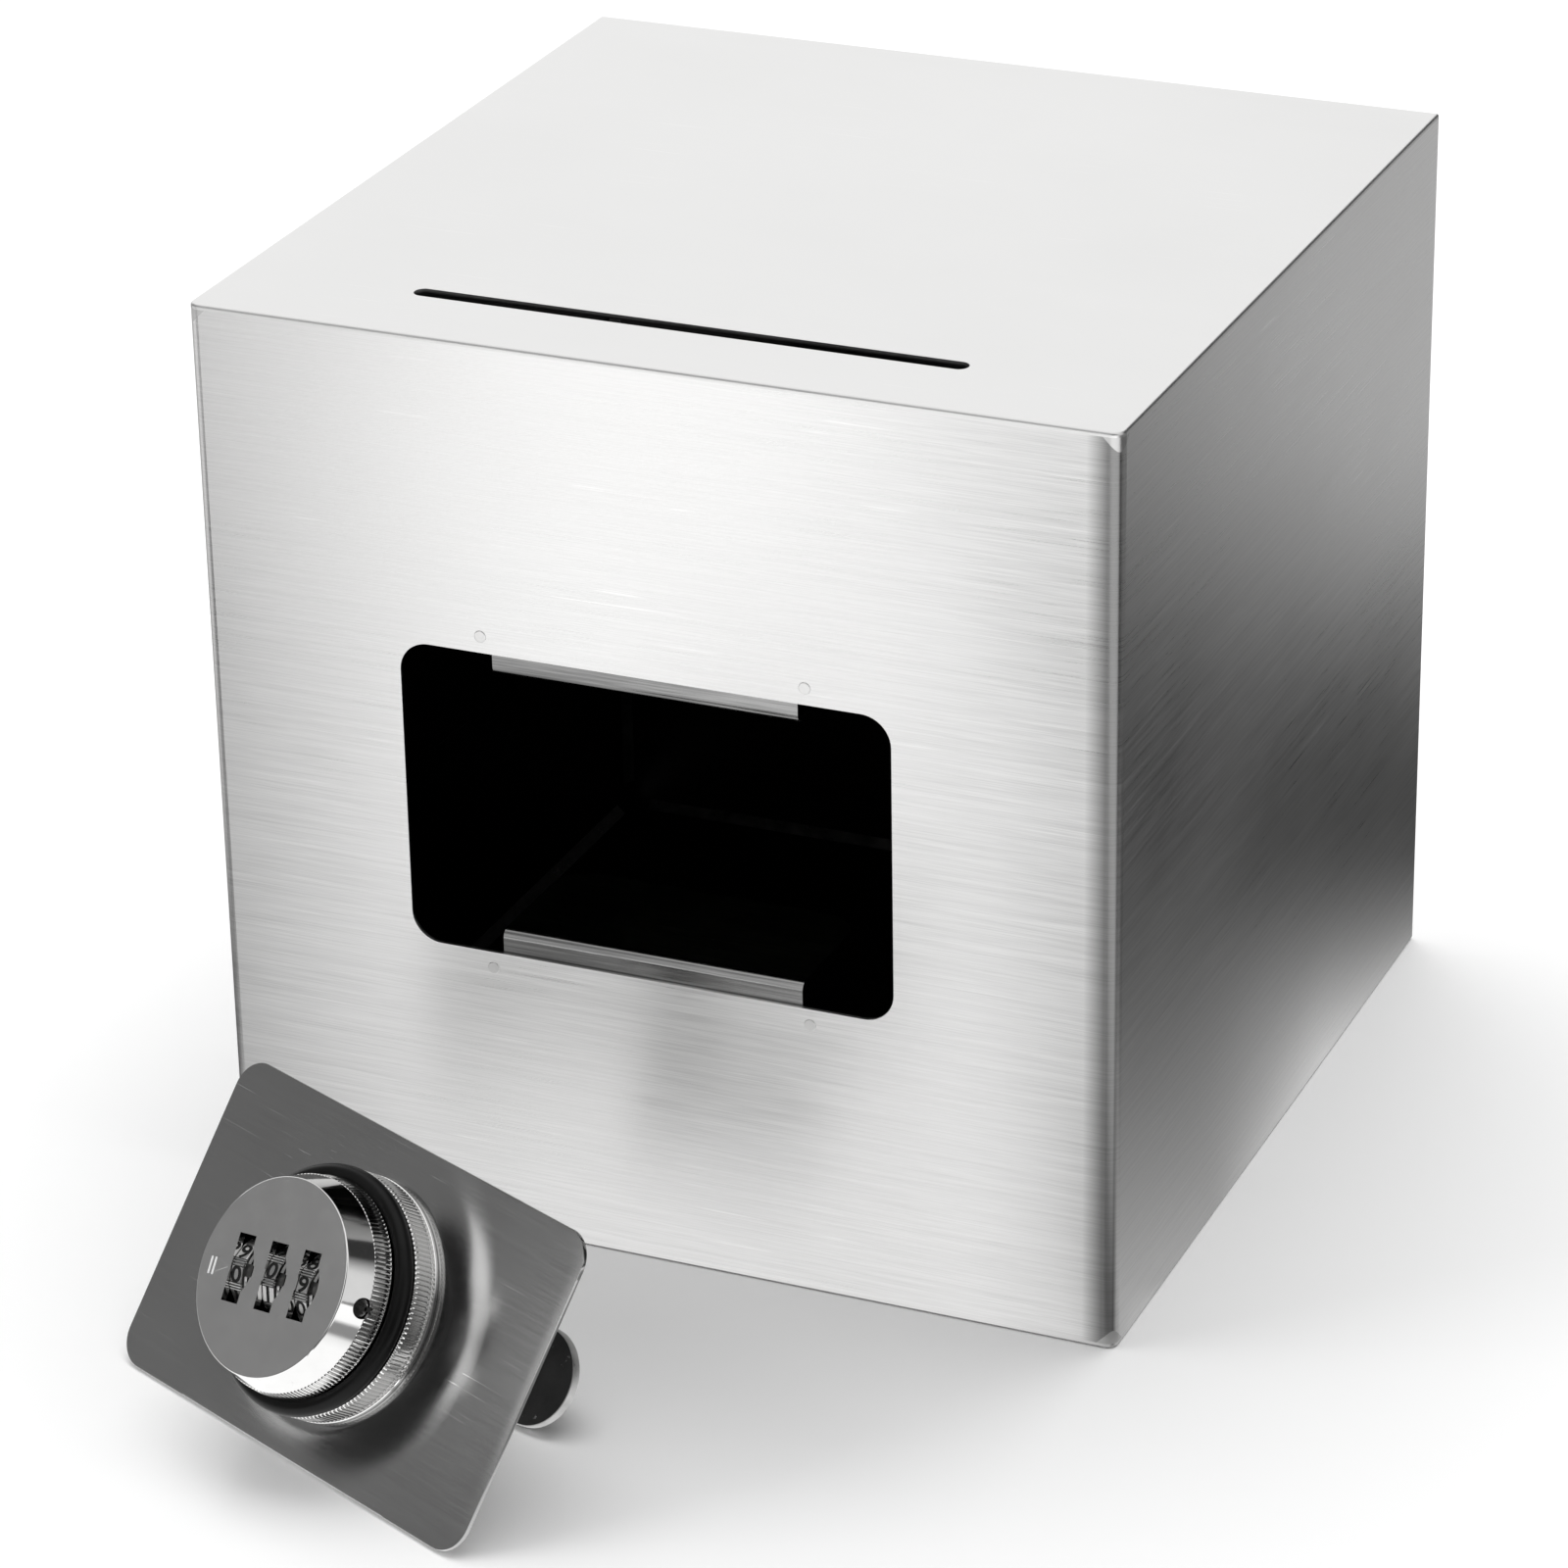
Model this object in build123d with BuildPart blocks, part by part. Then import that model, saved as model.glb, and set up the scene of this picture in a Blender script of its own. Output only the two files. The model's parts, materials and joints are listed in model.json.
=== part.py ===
"""A steel cash box with its combination-lock cover off, leaning on the surface in front of it.

Millimetres, +Z up. The origin is the middle of the box's base. The front of the box faces -Y.
"""
from build123d import *
from math import asin, atan2, cos, degrees, radians, sin
import os

os.makedirs("parts", exist_ok=True)

# --- Box -----------------------------------------------------------------------------------------
box_size = 200.0  # outside, all three ways
sheet = 1.0  # stainless sheet thickness
bend_radius = 2.5  # outside radius of the two bent front edges
edge_round = 0.6  # ground edge of the welded top and bottom panels
bead_leg = 2.0  # inside weld beads
bead_short = 7.0  # how far each bead stops from the box's outside
corner_patch = 4.0  # ground weld patches at the four front corners
patch_point = 0.01  # where each patch runs out to a point

# --- Slot in the top -------------------------------------------------------------------------------
slot_length = 120.0
slot_width = 4.2
slot_from_front = 22.7  # front face to the slot's middle

# --- Cover plate and the opening it closes --------------------------------------------------------------
cover_width = 107.0
cover_height = 67.0
cover_gap = 0.35  # all round, between the plate and the opening
cover_corner = 6.5
opening_x = -1.65  # middle of the opening on the front face
opening_z = 99.35

# --- Latch brackets behind the opening ---------------------------------------------------------------------
bracket_width = 67.0
bracket_lip = 5.0  # how far the upright leg stands into the opening
bracket_cover = 11.0  # how far it reaches behind the front sheet
bracket_flange = 31.4  # the leg that runs back from the front sheet
bracket_bend = 2.0
bracket_corner = 8.0
plug_weld_radius = 1.3
plug_weld_spacing = 71.0
plug_weld_inset = 3.6  # from the opening's edge to the weld
plug_weld_proud = 0.15
bracket_tab_width = 78.0  # where it is welded
bracket_tab_inset = 1.0  # from the opening's edge to the wider part

# --- Lock, measured outward from the plate's front face along the lock's axis ---------------------------
boss_flat_radius = 26.0  # the plate is drawn outward round the lock
boss_shoulder_radius = 4.0
boss_dish_radius = 50.0
boss_foot_radius = 39.0
knob_turn = 10.4  # rest angle of the number row to the plate's long edge, degrees
collar_radius = 25.2
collar_top = 8.05
collar_floor = 3.0
collar_bore = 21.6
collar_edge = 0.4
collar_hole = 9.2
o_ring_wire = 1.85
o_ring_radius = 23.5
knob_top = 22.3
knob_face_radius = 20.1
knob_band_radius = 21.8
knob_band_low = 16.4
knob_skirt_radius = 22.6
knob_skirt_low = 12.0
knob_neck_radius = 21.2
knob_neck_low = 3.4
knob_cavity_radius = 19.0
knob_face_thickness = 1.5
knob_edge = 0.3
knob_step = 0.15  # where the knurling begins
barrel_radius = 9.0
barrel_flat = 7.8
barrel_bore = 5.08
barrel_play = 0.1  # between the barrel and the holes it is keyed in
barrel_flange_radius = 12.0
barrel_flange_top = 4.0
barrel_end = -30.4
washer_radius = 13.0
washer_thickness = 1.0
washer_notches = 12
washer_notch_radius = 0.8
nut_across_flats = 24.0
nut_thickness = 6.0
spindle_radius = 5.0
spindle_square = 7.0
spindle_thread_radius = 3.0
square_from = -31.3  # where the square end of the spindle begins
spindle_end = -41.0
spindle_chamfer = 0.4
index_mark_x = -17.2  # two short bars left of the number row
index_mark_y = -0.8
index_mark_pitch = 1.1
index_mark_width = 0.55
index_mark_length = 3.6
index_groove_width = 2.3  # shallow grooves between the windows, on the index line
index_depth = 0.3
frame_low = 4.4
frame_thickness = 1.3
cheek_x = 13.05
cheek_thickness = 1.5
cheek_width = 7.2
cheek_top = 19.8
frame_fit = 0.05
leaf_thickness = 0.4
leaf_gap = 0.35  # from the wheels to the detent leaf
leaf_root = 2.2  # height of the leaf below its three fingers
finger_length = 6.0
ring_radius = 6.5  # retaining ring on the spindle, behind the barrel
ring_thickness = 0.6
ring_mouth_width = 3.0
ring_mouth_depth = 2.6
stop_radius = 6.5
stop_ear_width = 4.0
stop_ear_reach = 8.6
stop_skirt_bore = 6.9  # the barrel's rear skirt, cut away where the ear travels
stop_skirt_end = -32.8
stop_play = 0.05

# --- Cam bar and its fastening, behind the plate --------------------------------------------------------
cam_length = 44.25  # tip to the round end behind the axis
cam_width = 20.5
cam_front = -33.0
cam_back = -35.0
cam_washer_radius = 5.6
cam_washer_thickness = 0.7
cam_washer_split = 0.8
cam_washer_middle = 3.8  # middle of the split's length from the axis
cam_nut_across_flats = 10.0
cam_nut_thickness = 4.5

# --- Number wheels ----------------------------------------------------------------------------------
wheel_spacing = 9.3
wheel_radius = 8.0
wheel_width = 3.1
wheel_offset = -0.6  # middle of the wheel from the middle of its window
wheel_bore = 2.06
axle_radius = 2.0
wheel_groove = 0.45
wheel_rest_turns = (9.5, -9.5, -1.5)  # degrees, as left by the last user
axle_height = 14.3
axle_half_length = 13.9
axle_chamfer = 0.3
disc_radius = 7.2
disc_width = 0.8
disc_offset = 1.65
disc_notch_depth = 2.2
disc_notch_width = 2.6
disc_hub_radius = 3.2
window_width = 4.6
window_height = 13.75
relief_radius = 7.4  # rounded clearance for the disc, on the right of each window
relief_offset = -3.65  # its centre from the middle of the window

# --- Code-change pin ---------------------------------------------------------------------------------
pin_turn = -3.0  # from the number row, degrees
pin_height = 17.3
pin_radius = 1.85
pin_hole_radius = 2.1
pin_travel = 1.2
pin_inner = 16.2  # inner and outer ends from the lock's axis
pin_outer = 20.9
pin_flange_radius = 2.7
pin_flange_thickness = 0.8
pin_slot_width = 0.7
pin_slot_depth = 0.7
pin_spring_radius = 1.6
pin_spring_bore = 1.1
pin_spring_play = 0.1

# --- Where the cover rests ------------------------------------------------------------------------------
rest_x = -31.4  # the lock's axis on the plate's front face
rest_y = -181.6
rest_yaw = -24.3
# Both the plate's lower back edge and the cam bar's lower back edge touch the surface.
rest_tilt = degrees(atan2(cover_height / 2 - cam_width / 2, -cam_back - sheet))
rest_z = cover_height / 2 * cos(radians(rest_tilt)) + sheet * sin(radians(rest_tilt))

# Height of the boss, from the two arcs that meet on its side.
boss_arcs = boss_dish_radius + boss_shoulder_radius
boss_slope = asin((boss_foot_radius - boss_flat_radius) / boss_arcs)
boss_height = boss_arcs * (1 - cos(boss_slope))

half = box_size / 2
inner = half - sheet
opening_width = cover_width + 2 * cover_gap
opening_height = cover_height + 2 * cover_gap

# The cover's own plane: x along its long edge, z outward along the lock's axis.
cover = Plane(
    origin=(rest_x, rest_y, rest_z),
    x_dir=Vector(1, 0, 0).rotate(Axis.Z, rest_yaw),
    z_dir=Vector(0, -1, 0).rotate(Axis.X, -rest_tilt).rotate(Axis.Z, rest_yaw),
)
lock_axis = Axis(cover.origin, cover.z_dir)
# Profiles of turned pieces: x outward from the lock's axis, y along it.
turning = Plane(origin=cover.origin, x_dir=cover.x_dir, z_dir=-cover.y_dir)
# The knob's plane: x along the number row.
row_direction = cover.x_dir.rotate(lock_axis, knob_turn)
knob = Plane(origin=cover.origin, x_dir=row_direction, z_dir=cover.z_dir)
# The axle's plane: z along the number row, x outward through the windows.
axle_plane = Plane(origin=knob.offset(axle_height).origin, x_dir=knob.z_dir, z_dir=row_direction)
# The code-change pin's plane: z outward through the pin, square to the lock's axis.
pin_direction = row_direction.rotate(lock_axis, pin_turn)
pin_plane = Plane(origin=knob.offset(pin_height).origin, x_dir=knob.z_dir, z_dir=pin_direction)


def write(piece, name):
    piece.label = name
    export_step(piece, "parts/" + name + ".step")


# ===================================== BOX ===================================================================


def shell_walls(low, high):
    """Left side, front and right side of the box as one bent strip, between two heights."""
    with BuildPart() as walls:
        with BuildSketch(Plane.XY.offset(low)) as outline:
            with BuildLine():
                Polyline((-half, inner), (-half, -half), (half, -half), (half, inner))
                Polyline((half, inner), (inner, inner), (inner, -inner), (-inner, -inner))
                Polyline((-inner, -inner), (-inner, inner), (-half, inner))
            make_face()
            fillet(outline.vertices().filter_by_position(Axis.Y, -half, -half), bend_radius)
            fillet(outline.vertices().filter_by_position(Axis.Y, -inner, -inner), bend_radius - sheet)
        extrude(amount=high - low)
    return walls.part


# Where the corner welds were ground flush: a cone at each end of each bent edge.
with BuildPart() as weld_cones:
    for side in (-1, 1):
        with Locations((side * half, -half, box_size - sheet)):
            Cone(patch_point, corner_patch, corner_patch, align=(Align.CENTER, Align.CENTER, Align.MAX))
        with Locations((side * half, -half, sheet)):
            Cone(corner_patch, patch_point, corner_patch, align=(Align.CENTER, Align.CENTER, Align.MIN))

# One sheet, standing between the top and bottom panels, with the opening and the plug-weld holes.
with BuildPart() as front_shell:
    add(shell_walls(sheet, box_size - sheet))
    add(weld_cones.part, mode=Mode.SUBTRACT)
    with BuildSketch(Plane.XZ.offset(half)):
        with Locations((opening_x, opening_z)):
            RectangleRounded(opening_width, opening_height, cover_corner)
            with GridLocations(plug_weld_spacing, opening_height + 2 * plug_weld_inset, 2, 2):
                Circle(plug_weld_radius)
    extrude(amount=-sheet, mode=Mode.SUBTRACT)
write(front_shell.part, "front_shell")

with BuildPart() as corner_weld_fills:
    add(shell_walls(sheet, box_size - sheet))
    add(weld_cones.part, mode=Mode.INTERSECT)
write(corner_weld_fills.part, "corner_weld_fills")


def end_panel(low):
    """A square panel with the front corners rounded like the bent edges below or above it."""
    with BuildSketch(Plane.XY.offset(low)) as outline:
        Rectangle(box_size, box_size)
        fillet(outline.vertices().group_by(Axis.Y)[0], bend_radius)
        fillet(outline.vertices().group_by(Axis.Y)[-1], edge_round)
    return outline.sketch


with BuildPart() as top_panel:
    add(end_panel(box_size - sheet))
    extrude(amount=sheet)
    fillet(top_panel.faces().sort_by(Axis.Z)[-1].edges(), edge_round)
    with BuildSketch(Plane.XY.offset(box_size)):
        with Locations((0, -half + slot_from_front)):
            SlotOverall(slot_length, slot_width)
    extrude(amount=-sheet, mode=Mode.SUBTRACT)
write(top_panel.part, "top_panel")

with BuildPart() as bottom_panel:
    add(end_panel(0))
    extrude(amount=sheet)
    fillet(bottom_panel.faces().sort_by(Axis.Z)[0].edges(), edge_round)
write(bottom_panel.part, "bottom_panel")

with BuildPart() as back_panel:
    with BuildSketch(Plane.XY.offset(sheet)) as back_outline:
        with Locations((0, half - sheet / 2)):
            Rectangle(box_size, sheet)
        fillet(back_outline.vertices().group_by(Axis.Y)[-1], edge_round)
    extrude(amount=box_size - 2 * sheet)
write(back_panel.part, "back_panel")

# Inside beads: along all four sides at the top and the bottom, and up the two back corners.
bead_length = box_size - 2 * bead_short
side_planes = [
    Plane(
        origin=(0, 0, 0),
        x_dir=Vector(1, 0, 0).rotate(Axis.Z, 90 * k),
        z_dir=Vector(0, -1, 0).rotate(Axis.Z, 90 * k),
    )
    for k in range(4)
]
with BuildPart() as seam_weld_beads:
    for plane in side_planes:
        with BuildSketch(plane):
            for level, toward in ((sheet, 1), (box_size - sheet, -1)):
                with BuildLine():
                    Polyline(
                        (inner, level),
                        (inner - bead_leg, level),
                        (inner, level + toward * bead_leg),
                        close=True,
                    )
                make_face()
        extrude(amount=bead_length / 2, both=True)
    with BuildSketch(Plane.XY.offset(box_size / 2)):
        for side in (-1, 1):
            with BuildLine():
                Polyline(
                    (side * inner, inner),
                    (side * (inner - bead_leg), inner),
                    (side * inner, inner - bead_leg),
                    close=True,
                )
            make_face()
    extrude(amount=bead_length / 2, both=True)
write(seam_weld_beads.part, "seam_weld_beads")


def latch_bracket(up):
    """Bent L bracket. up is 1 above the opening and -1 below it."""
    edge = opening_z + up * opening_height / 2
    lip = edge - up * bracket_lip
    weld_end = edge + up * bracket_cover
    back = -inner + bracket_flange
    with BuildPart() as bracket:
        with BuildSketch(Plane.YZ.offset(opening_x)) as profile:
            with BuildLine():
                Polyline(
                    (-inner, weld_end),
                    (-inner, lip),
                    (back, lip),
                    (back, lip + up * sheet),
                    (-inner + sheet, lip + up * sheet),
                    (-inner + sheet, weld_end),
                    close=True,
                )
            make_face()
            bend = profile.vertices().sort_by_distance((-inner, lip))[0]
            fillet(bend, bracket_bend)
            crook = profile.vertices().sort_by_distance((-inner + sheet, lip + up * sheet))[0]
            fillet(crook, bracket_bend - sheet)
        extrude(amount=bracket_width / 2, both=True)
        corners = bracket.edges().filter_by(Axis.Z).group_by(Axis.Y)[-1]
        fillet(corners, bracket_corner)
        # The leg is wider where it is welded, so that the plug welds reach it.
        tab_edge = edge + up * bracket_tab_inset
        with BuildSketch(Plane.XZ.offset(inner)):
            with Locations((opening_x, (tab_edge + weld_end) / 2)):
                Rectangle(bracket_tab_width, abs(weld_end - tab_edge))
        extrude(amount=-sheet)
    return bracket.part


write(latch_bracket(1), "upper_latch_bracket")
write(latch_bracket(-1), "lower_latch_bracket")

# Plug welds fill the four holes, a shade proud of the sheet.
with BuildPart() as bracket_plug_welds:
    with BuildSketch(Plane.XZ.offset(inner)):
        with Locations((opening_x, opening_z)):
            with GridLocations(plug_weld_spacing, opening_height + 2 * plug_weld_inset, 2, 2):
                Circle(plug_weld_radius)
    extrude(amount=sheet + plug_weld_proud)
    fillet(bracket_plug_welds.faces().group_by(Axis.Y)[0].edges(), plug_weld_proud)
write(bracket_plug_welds.part, "bracket_plug_welds")

# ===================================== COVER =================================================================


def turned_piece(*outline):
    """Turn a closed outline of (radius, height) points about the lock's axis."""
    with BuildPart() as piece:
        with BuildSketch(turning):
            with BuildLine():
                Polyline(*outline, close=True)
            make_face()
        revolve(axis=lock_axis)
    return piece.part


def arc_of(centre_x, centre_y, radius, angle):
    """A point on a circle, the angle measured from straight up."""
    return (centre_x + radius * sin(angle), centre_y + radius * cos(angle))


def boss_face(depth):
    """Face of the drawn plate at a depth below its front, from the axis outward."""
    shoulder = (boss_flat_radius, boss_height - boss_shoulder_radius, boss_shoulder_radius - depth)
    dish = (boss_foot_radius, boss_dish_radius, -boss_dish_radius - depth)
    start = arc_of(*shoulder, 0)
    meet = arc_of(*shoulder, boss_slope)
    foot = arc_of(*dish, 0)
    Line((0, start[1]), start)
    ThreePointArc(start, arc_of(*shoulder, boss_slope / 2), meet)
    ThreePointArc(meet, arc_of(*dish, boss_slope / 2), foot)
    Line(foot, (cover_width, foot[1]))


with BuildPart() as cover_plate:
    with BuildSketch(turning):
        with BuildLine():
            boss_face(0)
            boss_face(sheet)
            Line((0, boss_height), (0, boss_height - sheet))
            Line((cover_width, 0), (cover_width, -sheet))
        make_face()
    revolve(axis=lock_axis)
    with BuildSketch(cover):
        RectangleRounded(cover_width, cover_height, cover_corner)
    extrude(amount=boss_height + sheet, both=True, mode=Mode.INTERSECT)
    with BuildSketch(cover):
        Circle(barrel_radius + barrel_play)
        Rectangle(barrel_radius * 4, 2 * (barrel_flat + barrel_play), mode=Mode.INTERSECT)
    extrude(amount=boss_height + sheet, both=True, mode=Mode.SUBTRACT)
write(cover_plate.part, "cover_plate")

# Knurled ring that sits on the boss; its cup takes the neck of the knob.
base_collar = turned_piece(
    (collar_hole, boss_height),
    (collar_radius - collar_edge, boss_height),
    (collar_radius, boss_height + collar_edge),
    (collar_radius, collar_top - collar_edge),
    (collar_radius - collar_edge, collar_top),
    (collar_bore, collar_top),
    (collar_bore, collar_floor),
    (collar_hole, collar_floor),
)
write(base_collar, "base_collar")

with BuildPart() as o_ring:
    with BuildSketch(turning):
        with Locations((o_ring_radius, collar_top + o_ring_wire)):
            Circle(o_ring_wire)
    revolve(axis=lock_axis)
write(o_ring.part, "o_ring")

with BuildPart() as lock_barrel:
    with BuildSketch(cover.offset(barrel_end)):
        Circle(barrel_radius)
        Rectangle(barrel_radius * 4, 2 * barrel_flat, mode=Mode.INTERSECT)
    extrude(amount=collar_floor - barrel_end)
    with BuildSketch(cover.offset(collar_floor)):
        Circle(barrel_flange_radius)
    extrude(amount=barrel_flange_top - collar_floor)
    with BuildSketch(cover.offset(barrel_end)):
        Circle(barrel_bore)
    extrude(amount=barrel_flange_top - barrel_end, mode=Mode.SUBTRACT)
    # Skirt behind it, cut away over the quarter turn that the stop washer's ear travels.
    ear_room = stop_ear_width / 2 + stop_play
    with BuildSketch(cover.offset(barrel_end)):
        Circle(barrel_radius)
        Rectangle(barrel_radius * 4, 2 * barrel_flat, mode=Mode.INTERSECT)
        Circle(stop_skirt_bore, mode=Mode.SUBTRACT)
        with Locations((ear_room, -ear_room)):
            Rectangle(
                2 * barrel_radius,
                2 * barrel_radius,
                align=(Align.MAX, Align.MIN),
                mode=Mode.SUBTRACT,
            )
    extrude(amount=stop_skirt_end - barrel_end)
write(lock_barrel.part, "lock_barrel")

with BuildPart() as anti_turn_washer:
    with BuildSketch(cover.offset(boss_height - sheet)):
        Circle(washer_radius)
        with PolarLocations(washer_radius, washer_notches):
            Circle(washer_notch_radius, mode=Mode.SUBTRACT)
        with BuildSketch(mode=Mode.PRIVATE) as keyed:
            Circle(barrel_radius + barrel_play)
            Rectangle(barrel_radius * 4, 2 * (barrel_flat + barrel_play), mode=Mode.INTERSECT)
        add(keyed.sketch, mode=Mode.SUBTRACT)
    extrude(amount=-washer_thickness)
write(anti_turn_washer.part, "anti_turn_washer")

with BuildPart() as mounting_nut:
    with BuildSketch(cover.offset(boss_height - sheet - washer_thickness)):
        RegularPolygon(nut_across_flats / 2, 6, major_radius=False)
        Circle(barrel_radius, mode=Mode.SUBTRACT)
    extrude(amount=-nut_thickness)
write(mounting_nut.part, "mounting_nut")

# ===================================== TURNING PART OF THE LOCK ================================================

window_places = [(wheel_spacing * k, 0) for k in (-1, 0, 1)]
with BuildSketch(Plane.XY) as disc_relief:
    with Locations((relief_offset, 0)):
        Circle(relief_radius)
    Rectangle(2 * relief_radius, 2 * relief_radius, align=(Align.MIN, Align.CENTER), mode=Mode.INTERSECT)
knob_blank = turned_piece(
    (0, knob_top),
    (knob_face_radius - knob_edge, knob_top),
    (knob_face_radius, knob_top - knob_edge),
    (knob_band_radius, knob_band_low),
    (knob_band_radius + knob_step, knob_band_low - knob_step),
    (knob_skirt_radius, knob_skirt_low + knob_edge),
    (knob_skirt_radius - knob_edge, knob_skirt_low),
    (knob_neck_radius, knob_skirt_low),
    (knob_neck_radius, knob_neck_low),
    (knob_cavity_radius, knob_neck_low),
    (knob_cavity_radius, knob_top - knob_face_thickness),
    (0, knob_top - knob_face_thickness),
)

with BuildPart() as knob_cap:
    add(knob_blank)
    with BuildSketch(knob.offset(knob_top)):
        with Locations(*window_places):
            Rectangle(window_width, window_height)
            add(disc_relief.sketch)
    extrude(amount=-knob_face_thickness, mode=Mode.SUBTRACT)
    with BuildSketch(knob.offset(knob_top)):
        with Locations((index_mark_x, index_mark_y), (index_mark_x + index_mark_pitch, index_mark_y)):
            Rectangle(index_mark_width, index_mark_length)
        with Locations((-wheel_spacing / 2, 0), (wheel_spacing / 2, 0)):
            Rectangle(wheel_spacing - window_width, index_groove_width)
    extrude(amount=-index_depth, mode=Mode.SUBTRACT)
    with BuildSketch(pin_plane.offset(pin_inner)):
        Circle(pin_hole_radius)
    extrude(amount=knob_skirt_radius - pin_inner, mode=Mode.SUBTRACT)
write(knob_cap.part, "knob_cap")

# Disc that closes the knob from behind, with two cheeks for the axle.
with BuildPart() as wheel_frame:
    with BuildSketch(knob.offset(frame_low)):
        Circle(knob_cavity_radius - frame_fit)
    extrude(amount=frame_thickness)
    with BuildSketch(knob.offset(frame_low + frame_thickness)):
        with GridLocations(2 * cheek_x, 1, 2, 1):
            Rectangle(cheek_thickness, cheek_width)
    extrude(amount=cheek_top - frame_low - frame_thickness)
    with BuildSketch(axle_plane):
        Circle(axle_radius)
    extrude(amount=2 * cheek_x, both=True, mode=Mode.SUBTRACT)
write(wheel_frame.part, "wheel_frame")

with BuildPart() as wheel_axle:
    with BuildSketch(axle_plane):
        Circle(axle_radius)
    extrude(amount=axle_half_length, both=True)
    chamfer(wheel_axle.edges().filter_by(GeomType.CIRCLE), axle_chamfer)
write(wheel_axle.part, "wheel_axle")

# A leaf with three fingers that click into the grooves of the wheels.
leaf_y = wheel_radius + leaf_gap + leaf_thickness / 2
with BuildPart() as detent_spring:
    with BuildSketch(knob.offset(frame_low + frame_thickness)):
        with Locations((wheel_offset, leaf_y)):
            Rectangle(2 * wheel_spacing + wheel_width, leaf_thickness)
    extrude(amount=leaf_root)
    with BuildSketch(knob.offset(frame_low + frame_thickness + leaf_root)):
        with Locations((wheel_offset, leaf_y)):
            with GridLocations(wheel_spacing, 1, 3, 1):
                Rectangle(wheel_width, leaf_thickness)
    extrude(amount=finger_length)
write(detent_spring.part, "detent_spring")

with BuildPart() as spindle:
    with BuildSketch(cover.offset(square_from)):
        Circle(spindle_radius)
    extrude(amount=frame_low - square_from)
    with BuildSketch(cover.offset(cam_back)):
        Rectangle(spindle_square, spindle_square)
    extrude(amount=square_from - cam_back)
    with BuildSketch(cover.offset(spindle_end)):
        Circle(spindle_thread_radius)
    extrude(amount=cam_back - spindle_end)
    chamfer(spindle.faces().sort_by(lock_axis)[0].edges(), spindle_chamfer)
write(spindle.part, "spindle")

with BuildPart() as retaining_ring:
    with BuildSketch(cover.offset(square_from + ring_thickness)):
        Circle(ring_radius)
        Circle(spindle_radius, mode=Mode.SUBTRACT)
        with Locations((0, -ring_radius)):
            Rectangle(ring_mouth_width, 2 * ring_mouth_depth, mode=Mode.SUBTRACT)
    extrude(amount=-ring_thickness)
write(retaining_ring.part, "retaining_ring")

# Its ear runs between the two ends of the barrel's skirt and sets the quarter turn.
with BuildPart() as stop_washer:
    with BuildSketch(cover.offset(square_from)):
        Circle(stop_radius)
        with Locations((0, stop_ear_reach / 2)):
            Rectangle(stop_ear_width, stop_ear_reach)
        Rectangle(spindle_square, spindle_square, mode=Mode.SUBTRACT)
    extrude(amount=cam_front - square_from)
write(stop_washer.part, "stop_washer")

cam_reach = cam_length - cam_width / 2
with BuildPart() as cam_bar:
    with BuildSketch(cover.offset(cam_front)):
        with Locations((cam_reach / 2 - cam_width / 4, 0)):
            SlotCenterToCenter(cam_reach - cam_width / 2, cam_width)
        Rectangle(spindle_square, spindle_square, mode=Mode.SUBTRACT)
    extrude(amount=cam_back - cam_front)
write(cam_bar.part, "cam_bar")

with BuildPart() as cam_lock_washer:
    with BuildSketch(cover.offset(cam_back)):
        Circle(cam_washer_radius)
        Circle(spindle_thread_radius, mode=Mode.SUBTRACT)
        with Locations((cam_washer_middle, 0)):
            Rectangle(cam_washer_radius, cam_washer_split, mode=Mode.SUBTRACT)
    extrude(amount=-cam_washer_thickness)
write(cam_lock_washer.part, "cam_lock_washer")

with BuildPart() as cam_nut:
    with BuildSketch(cover.offset(cam_back - cam_washer_thickness)):
        RegularPolygon(cam_nut_across_flats / 2, 6, major_radius=False)
        Circle(spindle_thread_radius, mode=Mode.SUBTRACT)
    extrude(amount=-cam_nut_thickness)
write(cam_nut.part, "cam_nut")

# ===================================== NUMBER WHEELS ===========================================================

digits = 10
for index, rest_turn in enumerate(wheel_rest_turns):
    middle = (index - 1) * wheel_spacing
    with BuildPart() as number_wheel:
        with BuildSketch(axle_plane.offset(middle + wheel_offset - wheel_width / 2)):
            RegularPolygon(wheel_radius, digits, rotation=rest_turn + 180 / digits)
            with PolarLocations(wheel_radius, digits, rest_turn + 180 / digits):
                Circle(wheel_groove, mode=Mode.SUBTRACT)
            Circle(wheel_bore, mode=Mode.SUBTRACT)
        extrude(amount=wheel_width)
    write(number_wheel.part, f"number_wheel_{index + 1}")

    # The disc is set to the wheel by the code; its notch lies under the index line.
    with BuildPart() as clutch_disc:
        with BuildSketch(axle_plane.offset(middle + disc_offset - disc_width / 2)):
            Circle(disc_radius)
            with Locations((disc_radius, 0)):
                Rectangle(2 * disc_notch_depth, disc_notch_width, mode=Mode.SUBTRACT)
            Circle(wheel_bore, mode=Mode.SUBTRACT)
        extrude(amount=disc_width)
        hub_from = middle + wheel_offset + wheel_width / 2
        with BuildSketch(axle_plane.offset(hub_from)):
            Circle(disc_hub_radius)
            Circle(wheel_bore, mode=Mode.SUBTRACT)
        extrude(amount=middle + disc_offset + disc_width - hub_from)
    write(clutch_disc.part, f"clutch_disc_{index + 1}")

# ===================================== CODE-CHANGE PIN =========================================================

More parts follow.
